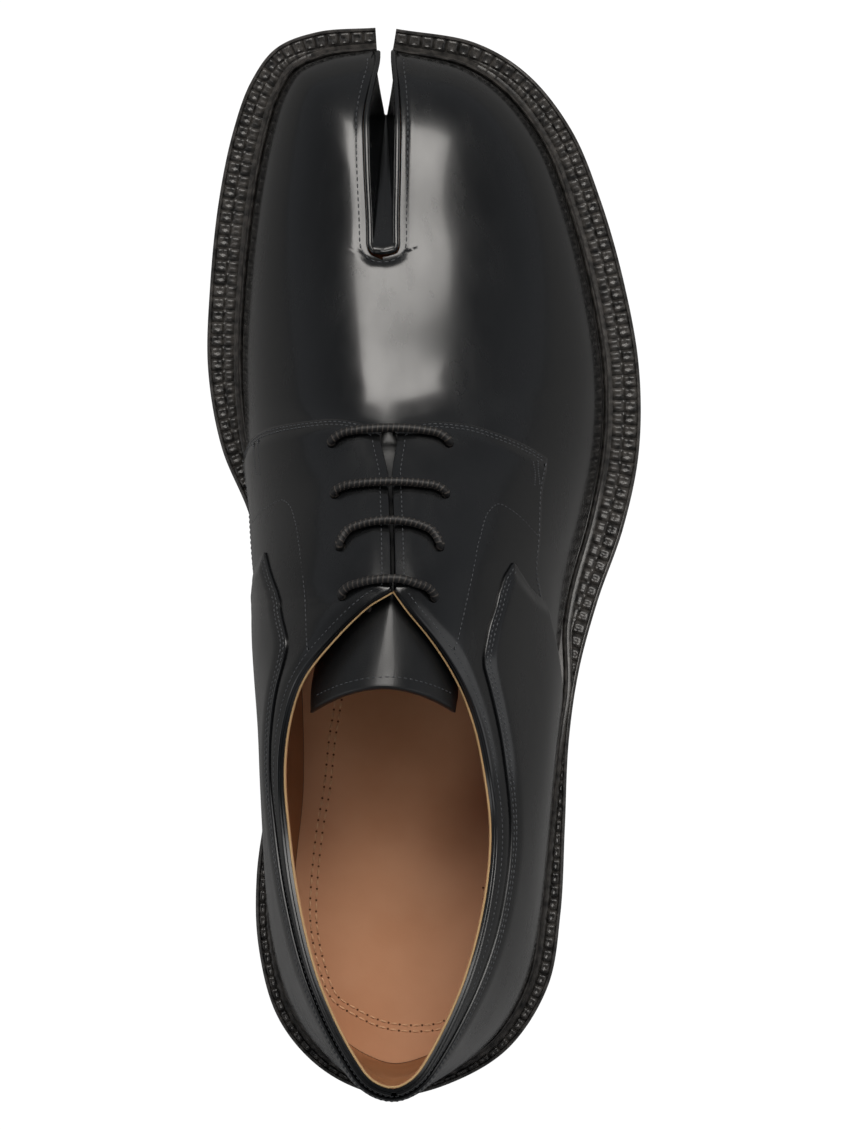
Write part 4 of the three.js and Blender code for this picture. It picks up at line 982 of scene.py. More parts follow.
side = side_stations(54, 26, 22, 30)
around = np.concatenate([-side[:0:-1], side])
levels = np.linspace(0, 1, 33)
S, L = np.meshgrid(around, levels, indexing="ij")
reach = np.abs(S)
SLIT_SET_BACK, CLEFT_SET_BACK = 0.025, 0.12
slit = ramp(reach, 1, 1.05) * (1 - ramp(reach, 1.9, 2))
L = L * (1 - SLIT_SET_BACK * slit - CLEFT_SET_BACK * ramp(reach, 2.96, 3.05))
lining = wall(
    "lining", off_skin(S, L, -LEATHER_WALL - 0.04), off_skin(S, L, -UPPER_WALL)
)


# %% [markdown]
# Lace holes are punched blind, straight through facing, upper and lining along the skin's
# normal. Their places on the skin are found from the plan position by Newton's method.
# A boolean cut is used, because a hole made in the grid would bend every row round it.


# %% Lace holes
HOLE_RADIUS, PUNCH_LENGTH = 1.55, 14


def skin_over(x, y):
    """The station and level of the skin over a place in the plan."""
    side = -1 if x < centre_x(y) else 1
    s, l = np.meshgrid(side * np.linspace(0.9, 2.1, 61), np.linspace(0.6, 1, 41), indexing="ij")
    p = skin(s, l)
    best = np.argmin(np.hypot(p[..., 0] - x, p[..., 1] - y))
    s, l = float(s.flat[best]), float(l.flat[best])
    for _ in range(8):
        here = skin(s, l)
        along_s = (skin(s + 0.01, l) - here) / 0.01
        along_l = (skin(s, l - 0.01) - here) / -0.01
        det = along_s[0] * along_l[1] - along_s[1] * along_l[0]
        dx, dy = x - here[0], y - here[1]
        s += (dx * along_l[1] - dy * along_l[0]) / det
        l = min(1.0, l + (dy * along_s[0] - dx * along_s[1]) / det)
    return s, l


holes = {}
for row in LACE_HOLES:
    for initial, name in (("M", "medial"), ("L", "lateral")):
        x, y = to_x(row[name]), to_y(row["along"])
        s, l = skin_over(x, y)
        holes[f"{initial}{row['row']}"] = dict(x=x, y=y, s=s, l=l, bow=row["bow"])


def punches(initials):
    bm = bmesh.new()
    for name, hole in holes.items():
        if name[0] not in initials:
            continue
        place = Vector(skin(hole["s"], hole["l"])) * MM
        normal = Vector(skin_normal(hole["s"], hole["l"]))
        turn = normal.to_track_quat("Z", "Y").to_matrix().to_4x4()
        bmesh.ops.create_cone(
            bm, cap_ends=True, segments=20, radius1=HOLE_RADIUS * MM, radius2=HOLE_RADIUS * MM,
            depth=PUNCH_LENGTH * MM, matrix=Matrix.Translation(place) @ turn,
        )
    return from_bmesh("punch", bm)


punch = punches("ML")
cut(leather, punch)
cut(lining, punch)
bpy.data.objects.remove(punch)
shaded(leather)
shaded(lining)
finish(leather, "polished_leather", ("upper",), polished)
finish(lining, "tan_leather", ("upper",), lining_tan)
print("holes", len(holes))

# %% [markdown]
# The raw top edge of the lining shows as a thin pale line round the collar, just inside the
# black rim.
# It is a thin tube: a painted band would blur at this size and catch no light.

# %% Raw edge of the lining
RAW_RADIUS = 0.3
half_collar = np.linspace(0.01, 1, 130)
around = np.concatenate([-half_collar[::-1], half_collar])
edge_path = off_skin(around, np.ones(len(around)), -LEATHER_WALL - RAW_RADIUS - 0.05)
raw = tube("lining raw edge", edge_path, RAW_RADIUS, sides=8)
finish(raw, "tan_leather", (), raw_edge)

# %% [markdown]
# The quarters and the heel piece are lapped on the upper. Each takes a grid between its own
# back, front, lower and upper edges on the skin, so that its edges run smooth.
# Cut out of a larger sheet, the edges would be stepped, and a polished edge shows every step.

# %% Lapped pieces
seam_level = {n: read_table(t, "station", "level") for n, t in QUARTER_SEAM.items()}
quarter_front = {n: read_table(t, "level", "station") for n, t in QUARTER_FRONT.items()}
foxing_top = {n: read_table(t, "station", "level") for n, t in FOXING_TOP.items()}
foxing_front = {n: read_table(t, "level", "station") for n, t in FOXING_FRONT.items()}


def lapped_grid(across, up, back, front, low, high):
    """Stations and levels of a grid that fills the piece's own outline."""
    a, b = np.meshgrid(across, up, indexing="ij")
    s, l = mix(back(b), front(b), a), b
    for _ in range(12):
        l = mix(low(s), high(s), b)
        s = mix(back(l), front(l), a)
    return s, l


SKIVE = 5
QUARTER_EDGE, FOXING_EDGE, SEAT = 0.75, 0.6, 0.05
QUARTER_TOP = CLEAR + QUARTER_THICK
FOXING_TOP_LIFT = QUARTER_TOP + CLEAR + FOXING_THICK


def quarter_lift(away):
    """The lapped leather is skived: thin at its edge, full a few millimetres in."""
    return SEAT + mix(QUARTER_EDGE, QUARTER_TOP - SEAT, ramp(away, 0, SKIVE))


def foxing_lift(away):
    base = QUARTER_TOP + SEAT
    return base + mix(FOXING_EDGE, FOXING_TOP_LIFT - base, ramp(away, 0, SKIVE))


def lap(name, s, l, base, lift_at, skived):
    flat = skin(s, l)
    lift = lift_at(edge_distance(flat, skived))
    drop = round_drop(edge_distance(flat, ("start", "end", "low", "high")), 0.35)
    return wall(name, off_skin(s, l, lift - drop), off_skin(s, l, np.full(s.shape, base)))


def quarter(side, name):
    half = side_name(side)
    s, l = lapped_grid(
        with_rims(np.linspace(0, 1, 160), 200), with_rims(np.linspace(0, 1, 46), 60),
        lambda v: np.full_like(v, BACK_SEAM), quarter_front[half], seam_level[half],
        np.ones_like,
    )
    piece = lap(name, s * side, l, SEAT, quarter_lift, ("end", "high"))
    punch = punches("M" if side < 0 else "L")
    cut(piece, punch)
    bpy.data.objects.remove(punch)
    shaded(piece)
    return finish(piece, "polished_leather", (name.replace(" ", "_"),), polished)


quarter(-1, "quarter medial")
quarter(1, "quarter lateral")


def foxing_side(name):
    return lapped_grid(
        with_rims(np.linspace(0, 1, 116), 120, low=False), with_rims(np.linspace(0, 1, 38), 45),
        np.zeros_like, foxing_front[name], seam_level[name], foxing_top[name],
    )


sm, lm = foxing_side("medial")
sl, ll = foxing_side("lateral")
S, L = np.concatenate([-sm[:0:-1], sl]), np.concatenate([lm[:0:-1], ll])
foxing = lap("heel foxing", S, L, QUARTER_TOP + SEAT, foxing_lift, ("start", "end", "high"))
shaded(foxing)
finish(foxing, "polished_leather", ("heel_foxing",), polished)

# %% [markdown]
# Thread. A row of stitches follows a line on the skin at one lift: each stitch is a small
# cord lying a little into the leather, all stitches of a row joined in one mesh.
# A picture of thread could stand in for it, but only real stitches cast the small shadows
# that tell the eye that a seam is sewn.


# %% Stitches
def stitches(name, path, pitch, length, radius, material, slot, sink=0.35, sides=6, up=None):
    """Stitches along a path; up gives the direction out of the leather at each point."""
    path = np.asarray(path, float)
    run = lengths_of(path)
    count = max(1, int(run[-1] / pitch))
    points, faces = [], []
    stops = (np.arange(count) + 0.5) * run[-1] / count
    profile = [(-0.5, 0.25), (-0.32, 0.85), (0, 1), (0.32, 0.85), (0.5, 0.25)]
    normals = np.broadcast_to((0, 0, 1), path.shape) if up is None else np.asarray(up)
    for stop in stops:
        base = len(points)
        for t, size in profile:
            at = stop + t * length
            p = np.array([np.interp(at, run, path[:, k]) for k in range(3)])
            q = np.array([np.interp(at + 0.05, run, path[:, k]) for k in range(3)])
            n = np.array([np.interp(at, run, normals[:, k]) for k in range(3)])
            n /= np.linalg.norm(n)
            w = q - p
            if np.linalg.norm(w) < 1e-6:
                w = p - np.array([np.interp(at - 0.05, run, path[:, k]) for k in range(3)])
            w /= np.linalg.norm(w)
            aside = np.cross(w, n)
            centre = p + n * radius * (size - 1 - sink + 0.3)
            for k in range(sides):
                turn = 2 * math.pi * k / sides
                points.append(centre + radius * size * (math.cos(turn) * aside + math.sin(turn) * n))
        for i in range(len(profile) - 1):
            for k in range(sides):
                a, b = base + i * sides + k, base + i * sides + (k + 1) % sides
                faces.append((a, b, b + sides, a + sides))
        last = base + (len(profile) - 1) * sides
        faces.append(tuple(base + k for k in reversed(range(sides))))
        faces.append(tuple(last + k for k in range(sides)))
    piece = mesh_object(name, points, faces)
    smooth(piece)
    return finish(piece, slot, (), material)


def on_layer(station, level, lift):
    """Points on the outside of a layer, with the way out of the leather at each."""
    station, level = np.asarray(station, float), np.asarray(level, float)
    return off_skin(station, level, lift), skin_normal(station, level)


def inset_line(station, level, lift, inset):
    """The line moved sideways on the layer by inset millimetres, towards its left."""
    points, normals = on_layer(station, level, lift)
    way = np.gradient(points, axis=0)
    way /= np.linalg.norm(way, axis=1, keepdims=True)
    return points + np.cross(normals, way) * inset, normals


def sew(name, station, level, lift, inset, radius=0.2):
    """A row of black thread beside a line on the skin."""
    line, normals = inset_line(station, level, lift, inset)
    stitches(name, line, 1.5, 1.15, radius, black_thread, "polished_leather", up=normals)


SEAM_ROW_START = {"medial": 1.0, "lateral": 0.74}
EDGE_INSET = 2.2
for side, name in ((-1, "medial"), (1, "lateral")):
    up = np.linspace(QUARTER_FRONT[name][0]["level"] + 0.02, 0.985, 110)
    for inset in (1.0, 2.0):
        sew(
            f"{name} quarter front stitches {inset}", side * quarter_front[name](up), up,
            quarter_lift(inset), side * inset,
        )
    low = np.linspace(SEAM_ROW_START[name], QUARTER_SEAM[name][-1]["station"] - 0.04, 90)
    sew(
        f"{name} quarter lower stitches", side * low, seam_level[name](low), QUARTER_TOP,
        side * 1.1,
    )
    back = np.linspace(0.0, foxing_front[name](1) - 0.01, 200)
    for inset in (0.9, 2.0):
        sew(
            f"{name} foxing top stitches {inset}", side * back, foxing_top[name](back),
            foxing_lift(inset), -side * inset,
        )
    for edge, start, stop, count in (("collar", 0.0, 0.985, 200), ("facing edge", 1.02, 1.9, 120)):
        sew(
            f"{name} {edge} stitches", side * np.linspace(start, stop, count),
            np.full(count, 0.999), quarter_lift(EDGE_INSET), -side * EDGE_INSET, 0.18,
        )

# %% [markdown]
# One thin row arches over each facing's reinforcement: from the seam up beside the lacing
# and down to the collar. Its points are measured from above and dropped onto the skin.
# The plan is all that is known of them, so a search over the skin gives their height.

# %% Facing arches
ARCHES = {
    "medial": [(-47.5, 12), (-44.3, 15), (-39, 17.6), (-36.2, 16), (-33.5, 3.1), (-31.7, -11.8),
               (-31.4, -22.8)],
    "lateral": [(31, 8), (24.4, 14.5), (20.2, 16.7), (16.9, 13.6), (14.9, 6.2), (12.8, -3.2),
                (11, -12.1), (8.3, -22.8)],
}


def dropped(points, lift, lowest=0.2, first=0.5, last=2.6):
    """Points seen from above, found on the skin and lifted onto a layer."""
    fields = {}
    for side in (-1, 1):
        s, l = np.meshgrid(
            side * np.linspace(first, last, 106), np.linspace(lowest, 1, 81), indexing="ij"
        )
        n = skin_normal(s, l)
        fields[side] = skin(s, l) + n * lift, n, np.where(n[..., 2] > 0, 0, 50)
    out, ups = [], []
    for x, y in points:
        p, n, facing = fields[-1 if x < centre_x(y) else 1]
        best = np.argmin(np.hypot(p[..., 0] - x, p[..., 1] - y) + facing)
        out.append(p.reshape(-1, 3)[best])
        ups.append(n.reshape(-1, 3)[best])
    return np.array(out), np.array(ups)


def evened(line):
    """A line freed of the small steps of the grid it was found on."""
    padded = np.pad(line, ((3, 3), (0, 0)), mode="reflect", reflect_type="odd")
    return np.stack([np.convolve(padded[:, k], np.ones(7) / 7, "valid") for k in range(3)], -1)


for name, points in ARCHES.items():
    plan = spline([(x, y - 1.7, 0) for x, y in points], 60)[:, :2]
    line, normals = dropped(plan, QUARTER_TOP)
    line = evened(line)
    stitches(
        f"{name} facing arch stitches", line, 1.4, 1.05, 0.16, black_thread,
        "polished_leather", up=normals,
    )

# Bar tacks hold the corners of both quarters: short, close rows side by side.
BAR_TACKS = {
    "lateral": [((30.1, 27.2), (30.6, 20)), ((31.2, 27), (31.7, 20))],
    "medial": [((-47.4, 32.6), (-46.3, 22.7)), ((-46.2, 32.8), (-45.1, 22.8))],
}
for name, rows in BAR_TACKS.items():
    for number, (start, stop) in enumerate(rows):
        plan = np.linspace(start, stop, 12)
        line, normals = dropped(plan, quarter_lift(4))
        stitches(
            f"{name} bar tack {number + 1}", evened(line), 0.7, 0.6, 0.24, black_thread,
            "polished_leather", up=normals,
        )

# %% [markdown]
# The cleft. A gusset of the same leather lines it, from a rolled bead that shows as a bright
# U down to the slot in the sole. A stitched groove runs round it on the vamp.
# The real gusset is a strip pulled between rim and slot, so it is one sheet stretched between
# those two lines. The bead is a separate round, which keeps its gleam even.


# %% Gusset and bead
CLEFT_CLOSING = 12
SLOT_MIDDLE = (to_x(MEDIAL_OUTLINE[-1]["across"]) + to_x(LATERAL_OUTLINE[-1]["across"])) / 2
SLOT_END = to_y(1) - SLOT_DEPTH + SLOT_WIDTH / 2


def slot_path(count):
    """The gusset's foot round the slot; its two sides close in a V at the slot's end."""
    radius = (SLOT_WIDTH + GUSSET_WALL) / 2
    start = section_foot(4)[0][1]
    out = []
    for signed in np.linspace(-1, 1, count):
        at, side = abs(signed), np.sign(signed)
        angle = min(at, 0.3) / 0.3 * math.pi / 2
        forward = max(0, (at - 0.3) / 0.7)
        y = mix(SLOT_END, start, forward)
        narrowed = radius * mix(0.3, 1, min(1, (y - SLOT_END) / CLEFT_CLOSING))
        x = SLOT_MIDDLE + side * narrowed * math.sin(angle)
        y -= narrowed * math.cos(angle) * (1 if at < 0.3 else 0)
        out.append((x, y, sole_top(y) + CLEAR))
    return np.array(out)


half_run = 3 + np.linspace(0, 1, 90) ** 2
run = np.concatenate([-half_run[:0:-1], half_run])
rim = skin(run, np.ones(len(run)))
BEAD_STAND, BEAD_RADIUS = 0.15, 0.72
slot = slot_path(len(run))
gap = GUSSET_WALL / 2 + CLEAR
way = np.gradient(rim, axis=0)
way[:, 2] = 0
way /= np.linalg.norm(way, axis=1, keepdims=True)
inward = np.stack([-way[:, 1], way[:, 0], np.zeros(len(way))], -1)
rim_top = rim + inward * gap + np.array([0, 0, BEAD_STAND])
down = np.linspace(0, 1, 26)
middle = np.empty((len(run), len(down), 3))
for i, station in enumerate(run):
    sign = -1 if station < 0 else 1
    front = abs(2 * i / (len(run) - 1) - 1) ** 3
    straight = rim_top[i] + (slot[i] - rim_top[i]) * down[:, None]
    edge = skin(np.full(len(down), sign * 4.0), 1 - down)
    edge[:, 0] -= sign * gap
    edge[:, 2] += BEAD_STAND * (1 - down)
    share = front ** (1 + 8 * (1 - down[:, None]) ** 2)
    middle[i] = mix(straight, edge, share)
normal = np.cross(np.gradient(middle, axis=0), np.gradient(middle, axis=1))
normal[:, 0, 2] = normal[:, -1, 2] = 0
normal /= np.linalg.norm(normal, axis=-1, keepdims=True)
gusset = wall(
    "toe gusset", middle + normal * GUSSET_WALL / 2, middle - normal * GUSSET_WALL / 2
)
shaded(gusset)
finish(gusset, "polished_leather", ("toe_gusset",), polished)
BEAD_SUNK = 0.3
bead = tube("cleft bead", middle[:, 0] - np.array([0, 0, BEAD_SUNK]), BEAD_RADIUS, sides=14)
finish(bead, "polished_leather", (), polished)

STITCH_FROM_LIP = 1.9
rim_run = lengths_of(rim)
even_run = np.arange(3, rim_run[-1] - 3, 0.5)
lip = np.stack([np.interp(even_run, rim_run, rim[:, k]) for k in range(3)], -1)
lip = evened(lip)
lip_way = np.gradient(lip[:, :2], axis=0)
lip_way /= np.linalg.norm(lip_way, axis=1, keepdims=True)
outline = lip[:, :2] + np.stack([lip_way[:, 1], -lip_way[:, 0]], -1) * STITCH_FROM_LIP
row_depth = GROOVE_DEPTH * (1 - ramp(STITCH_FROM_LIP, GROOVE_START, GROOVE_END))
line, normals = dropped(outline, -row_depth + 0.1, lowest=0.5, first=2.9, last=3.98)
line[:, :2] = outline
stitches(
    "cleft stitches", evened(line), 1.9, 1.4, 0.2, black_thread, "polished_leather",
    up=normals,
)


# %% [markdown]
# The tongue arches under the facings and stands on past them into the collar, with a line
# of stitches near its cut end. It is cut from a duller leather.
# Its rows are read from the skin above it and then eased, as the lacing presses a real
# tongue to that shape; a flat sheet bent by hand would cut through the facings.


# %% Tongue
def level_across(station, distance):
    low, high = 0.3, 1.0
    for _ in range(30):
        level = (low + high) / 2
        point = skin(station, level)
        if abs(point[0] - centre_x(point[1])) > distance:
            low = level
        else:
            high = level
    return high


columns = np.linspace(-1, 1, 41)
half = TONGUE_WIDTH / 2
tongue_depth = read_table(
    table(
        "station depth",
        (1, UPPER_WALL + LACE_ROOM), (1.9, UPPER_WALL + LACE_ROOM),
        (2.1, UPPER_WALL + CLEAR), (2.2, UPPER_WALL + CLEAR),
    ),
    "station",
    "depth",
)


def under_row(station):
    row = []
    for c in columns:
        s = station * (-1 if c < 0 else 1)
        level = level_across(s, abs(c) * half)
        row.append(skin(s, level) - skin_normal(s, level) * tongue_depth(station))
    return np.array(row)


rows = [under_row(s) for s in np.linspace(2.16, 1, 22)]
last = rows[-1]
TONGUE_END_ALONG, TONGUE_END_ACROSS = 0.386, -0.09
end_y, end_x = to_y(TONGUE_END_ALONG), to_x(TONGUE_END_ACROSS)
end_z = last[len(columns) // 2][2] + TONGUE_DROOP * 0.45
for share in np.concatenate([np.linspace(0.07, 0.985, 20), [0.992, 0.997, 1]]):
    narrow = 1 - 0.07 * ramp(share, 0.75, 1)
    end = np.stack(
        [
            end_x + columns * half * narrow,
            end_y - 0.4 * TONGUE_DROOP * columns**2,
            end_z - TONGUE_DROOP * columns**2,
        ],
        -1,
    )
    rows.append(mix(last, end, share))
top = np.array(rows)
for _ in range(9):
    top[:, 1:-1] = (top[:, :-2] + 2 * top[:, 1:-1] + top[:, 2:]) / 4
    top[1:-1] = (top[:-2] + 2 * top[1:-1] + top[2:]) / 4
normal = np.cross(np.gradient(top, axis=1), -np.gradient(top, axis=0))
normal /= np.linalg.norm(normal, axis=-1, keepdims=True)
drop = round_drop(edge_distance(top, ("start", "end", "low", "high")), 0.6)[..., None]
tongue = wall("tongue", top - normal * drop, top - normal * (TONGUE_THICK - drop))
shaded(tongue, 60)
finish(tongue, "tongue_leather", ("tongue",), tongue_black)
stitches(
    "tongue end stitches", top[-6, 2:-2], 1.7, 1.3, 0.18, black_thread, "tongue_leather",
    up=normal[-6, 2:-2],
)

# %% [markdown]
# The lace is one waxed cord. Its bars lie over the facings, bowed towards the toe, and its
# runs pass under them from row to row; both ends stop inside.
# One path through all the holes keeps its thickness and twist even from bar to bar.

# %% Lace
over = QUARTER_THICK + 2 * CLEAR + LACE_DIAMETER / 2
under = UPPER_WALL + LACE_SLACK + LACE_DIAMETER / 2
route = []


def via(x, y, lift):
    s, l = skin_over(x, y)
    route.append(skin(s, l) + skin_normal(s, l) * (over * lift if lift > 0 else under * lift))


def through(name, going_down):
    for lift in (0.8, 0, -0.9) if going_down else (-0.9, 0, 0.8):
        via(holes[name]["x"], holes[name]["y"], lift)


def bar(start, stop):
    a, b = holes[start], holes[stop]
    for u in (0.09, 0.22, 0.4, 0.6, 0.78, 0.91):
        bow = a["bow"] * math.sqrt(1 - (2 * u - 1) ** 2)
        via(mix(a["x"], b["x"], u), mix(a["y"], b["y"], u) + bow, 1)


def run_under(start, stop, aside):
    a, b = holes[start], holes[stop]
    for u in (0.15, 0.38, 0.62, 0.85):
        shift = aside * math.sin(math.pi * u) ** 0.5
        via(mix(a["x"], b["x"], u) + shift, mix(a["y"], b["y"], u), -1)


def tail(name, side):
    via(holes[name]["x"] + side * LACE_TAIL, holes[name]["y"] - LACE_TAIL / 3, -1)


tail("M4", 1)
for start, stop, then, aside in (
    ("M4", "L4", "L2", -4), ("L2", "M2", "M1", 0), ("M1", "L1", "L3", 4), ("L3", "M3", None, 0)
):
    through(start, False)
    bar(start, stop)
    through(stop, True)
    if then:
        run_under(stop, then, aside)
tail("M3", -1)
path = spline(route, len(route) * 7)
lace = tube("lace", path, LACE_DIAMETER / 2, sides=14)
finish(lace, "waxed_cord", ("lace",), cord_black)
print("lace", round(lengths_of(path)[-1]), "mm")

# %% [markdown]
# The storm welt is one moulded strip round the sole: a smooth rim, raised blocks with a sunk
# middle in two rows (one row at the heel), a channel, and a rolled lip against the upper.
# It is swept as long lines whose heights rise and fall with the blocks. Blocks set one by one
# would leave seams between them, which moulded rubber doesn't have.

# %% Welt
foot_stations = np.arange(0, 3.001, 0.01)


def foot_station(share):
    feet = {n: foot_share[n](foot_stations) for n in foot_share}
    at = np.abs(share)
    medial = np.interp(at, feet["medial"], foot_stations)
    lateral = np.interp(at, feet["lateral"], foot_stations)
    return np.where(share < 0, medial, lateral)


def foot_layers(share):
    thick = QUARTER_THICK + FOXING_THICK + 2 * CLEAR
    return thick * (1 - ramp(foot_station(share), 0.7, 0.85))


def foot_lean(share):
    out = []
    for s, station in zip(share, foot_station(share)):
        foot, low = section_handles(float(-station if s < 0 else station))[:2]
        out.append(math.hypot(low[0] - foot[0], low[1] - foot[1]) / (low[2] - foot[2]))
    return np.array(out) * LIP_HEIGHT


ribs = round((OUTLINE_LENGTH["medial"] + OUTLINE_LENGTH["lateral"]) / RIB_PITCH)
STEPS_PER_RIB = 8
count = ribs * STEPS_PER_RIB + 1
share = np.linspace(-1, 1, count)
point, inward, welt_wide = outline_at(share)
coarse = np.linspace(-1, 1, 241)
lean = np.interp(share, coarse, foot_lean(coarse))
lip_in = welt_wide - foot_layers(share) - lean - CLEAR
deck = lip_in - 2 * LIP_WIDTH
inner = welt_wide + UPPER_WALL + CLEAR
phase = (np.arange(count) % STEPS_PER_RIB) / STEPS_PER_RIB
GAP_START, GAP_EASE, DISH_WIDTH, DISH_DEPTH, ROW_TWO_HEIGHT = 0.55, 0.7, 0.22, 0.4, 0.75
gap_share = np.clip(np.abs(phase - 0.5) * 2 - GAP_START, 0, 1 - GAP_START) / (1 - GAP_START)
block = (1 - gap_share) ** GAP_EASE
sunk = np.clip(1 - np.abs(phase - 0.5) / DISH_WIDTH, 0, 1)
two_rows = ramp(deck, 4.6, 6.4)
split = mix(0.97, 0.56, two_rows)
full, rim_wide = WELT_THICK - CLEAR, 0.9
span = deck - rim_wide
rails = []


def rail(distance, height):
    """One line along the whole strip, so far in from its edge and so high."""
    xy = point + inward * np.broadcast_to(distance, (count,))[:, None]
    rails.append(np.column_stack([xy, welt_bottom(xy[:, 1]) + height]))


rail(0, 0)
rail(0, WELT_THICK * 0.62)
rail(0.12, WELT_THICK * 0.8)
rail(0.5, full - 0.05)
rail(rim_wide, full - 0.02)
for t in (0.0, 0.1, 0.25, 0.4, 0.55, 0.7, 0.84, 0.94, 1.0):
    rise = min(1, 5 * t + 0.35) * min(1, 5 * (1 - t) + 0.15)
    dish = DISH_DEPTH * sunk * (1 if 0.3 < t < 0.8 else 0)
    height = full - RIB_HEIGHT * (1 - block * rise) - dish * block
    rail(rim_wide + 0.15 + t * (split * span - 0.15), height)
for t in (0.12, 0.3, 0.55, 0.8, 1.0):
    rise = min(1, 5 * t + 0.2) * min(1, 5 * (1 - t) + 0.2)
    tall = (ROW_TWO_HEIGHT - 0.2 * sunk) * two_rows
    rail(rim_wide + span * mix(split, 1.0, t), full - RIB_HEIGHT * (1 - block * rise * tall))
low = WELT_THICK - RIB_HEIGHT
rail(deck + LIP_WIDTH * 0.2, low)
rail(lip_in - LIP_WIDTH * 1.1, low)
rail(lip_in - LIP_WIDTH * 0.95, low + 0.7)
for back, rise in ((0.8, 0.75), (0.5, 1), (0.2, 0.8), (0.02, 0.2)):
    rail(lip_in - LIP_WIDTH * back, WELT_THICK + LIP_HEIGHT * rise)
rail(lip_in, WELT_THICK - CLEAR)
rail(inner, WELT_THICK - CLEAR)
rail(inner, 0)
rails = np.array(rails).transpose(1, 0, 2)
columns_w = rails.shape[1]
faces = grid_faces(count, columns_w, closed=True)
faces.append(tuple(range(columns_w)))
faces.append(tuple((count - 1) * columns_w + k for k in reversed(range(columns_w))))
welt = clean(mesh_object("storm welt", rails.reshape(-1, 3), faces), 0.001)
shaded(welt, 50)
finish(welt, "welt_rubber", ("welt",), welt_rubber)

# %% [markdown]
# The outsole is a plate of rubber to the welt's outline with the toe slot cut in; the insole
# fills the welt's ring. Both bend with the long section, so they are sliced across first.


# %% Outsole and insole
def slot_ring():
    radius = SLOT_WIDTH / 2
    turn = np.linspace(0, -math.pi, 14)
    return [(SLOT_MIDDLE + radius * math.cos(a), SLOT_END + radius * math.sin(a)) for a in turn]


def bent_plate(name, ring, top, bottom, pitch=3.0):
    """A plate with a closed plan ring, between two heights that follow y."""
    bm = bmesh.new()
    corners = [bm.verts.new((x * MM, y * MM, 0)) for x, y in ring]
    bm.faces.new(corners)
    low_y, high_y = min(y for _, y in ring), max(y for _, y in ring)
    y = low_y + pitch
    while y < high_y:
        bmesh.ops.bisect_plane(
            bm, geom=bm.verts[:] + bm.edges[:] + bm.faces[:], dist=1e-7,
            plane_co=(0, y * MM, 0), plane_no=(0, 1, 0),
        )
        y += pitch
    made = bmesh.ops.extrude_face_region(bm, geom=bm.faces[:])
    lifted = {v for v in made["geom"] if isinstance(v, bmesh.types.BMVert)}
    for v in bm.verts:
        v.co.z = (top if v in lifted else bottom)(v.co.y / MM) * MM
    bmesh.ops.recalc_face_normals(bm, faces=bm.faces)
    return from_bmesh(name, bm)


def plan_ring(distance, stop):
    """The outline set in by a distance that depends on the welt's width, then the slot."""
    xy, inw, wide = outline_at(np.linspace(-stop, stop, 420))
    return [tuple(p) for p in xy + inw * distance(wide)[:, None]] + slot_ring()


outsole = bent_plate(
    "outsole", plan_ring(lambda w: 0 * w, 1), lambda y: float(welt_bottom(y)) - CLEAR,
    lambda y: float(welt_bottom(y)) - OUTSOLE_THICK,
)
rounded(outsole, 0.5, 3)
finish(outsole, "sole_rubber", ("outsole",), rubber)

ring = plan_ring(lambda w: w + UPPER_WALL + 0.1, 0.985)
insole = bent_plate("insole", ring, lambda y: float(sole_top(y)), lambda y: float(welt_bottom(y)))
rounded(insole, 0.4, 2)
finish(insole, "tan_leather", ("insole",), insole_tan)

# %% [markdown]
# A double row of pale thread with needle holes runs round the heel seat of the insole.
# The holes are flat beads painted dark for the shade inside a hole: at this size the eye sees
# only a dot, and a cut hole would cost many faces for the same dot.

# %% Insole stitching
SEAT_ROW = [
    (-22.6, -20), (-24.4, -35.4), (-26.5, -48.8), (-27.9, -62.2), (-29.9, -73.6),
    (-31.4, -87.9), (-31.7, -99.3), (-29.7, -110.7), (-25.7, -121), (-19.4, -125.5),
    (-11.5, -129), (-2.9, -130.1), (5.6, -129), (12, -124), (16.5, -116), (18.5, -104),
    (18.2, -90),
]
NEEDLE_PITCH, ROW_GAP, NEEDLE_RADIUS = 3.1, 1.7, 0.36
seat = spline([(x, y - 1.7, 0) for x, y in SEAT_ROW], 400)
way = np.gradient(seat, axis=0)
way /= np.linalg.norm(way, axis=1, keepdims=True)
aside = np.stack([-way[:, 1], way[:, 0], np.zeros(len(way))], -1)
for k, shift in enumerate((0, ROW_GAP)):
    line = seat + aside * shift
    line[:, 2] = sole_top(line[:, 1]) + 0.02
    stitches(
        f"insole stitches {k + 1}", line, NEEDLE_PITCH, 2.2, 0.3, tan_thread, "tan_leather"
    )
    run_length = lengths_of(line)
    bm = bmesh.new()
    number = int(run_length[-1] / NEEDLE_PITCH)
    for stop in np.arange(number + 1) * run_length[-1] / number:
        place = [float(np.interp(stop, run_length, line[:, a])) * MM for a in range(3)]
        bmesh.ops.create_icosphere(
            bm, subdivisions=1, radius=NEEDLE_RADIUS * MM,
            matrix=Matrix.Translation(place) @ Matrix.Diagonal((1, 1, 0.25, 1)),
        )
    finish(from_bmesh(f"needle holes {k + 1}", bm), "tan_leather", (), needle_hole_shade)

# %% [markdown]
# The heel is stacked under the seat: lifts with fine lines between them, tapering a little,
# with a hollow breast, and a wearing piece of harder rubber under it.
# Rings at set heights make each line between two lifts a real groove that holds a shadow.


# %% Heel
def breast_share():
    share = 0.0
    while outline_at(share)[0][1] < to_y(0) + HEEL_LENGTH:
        share += 0.002
    return share


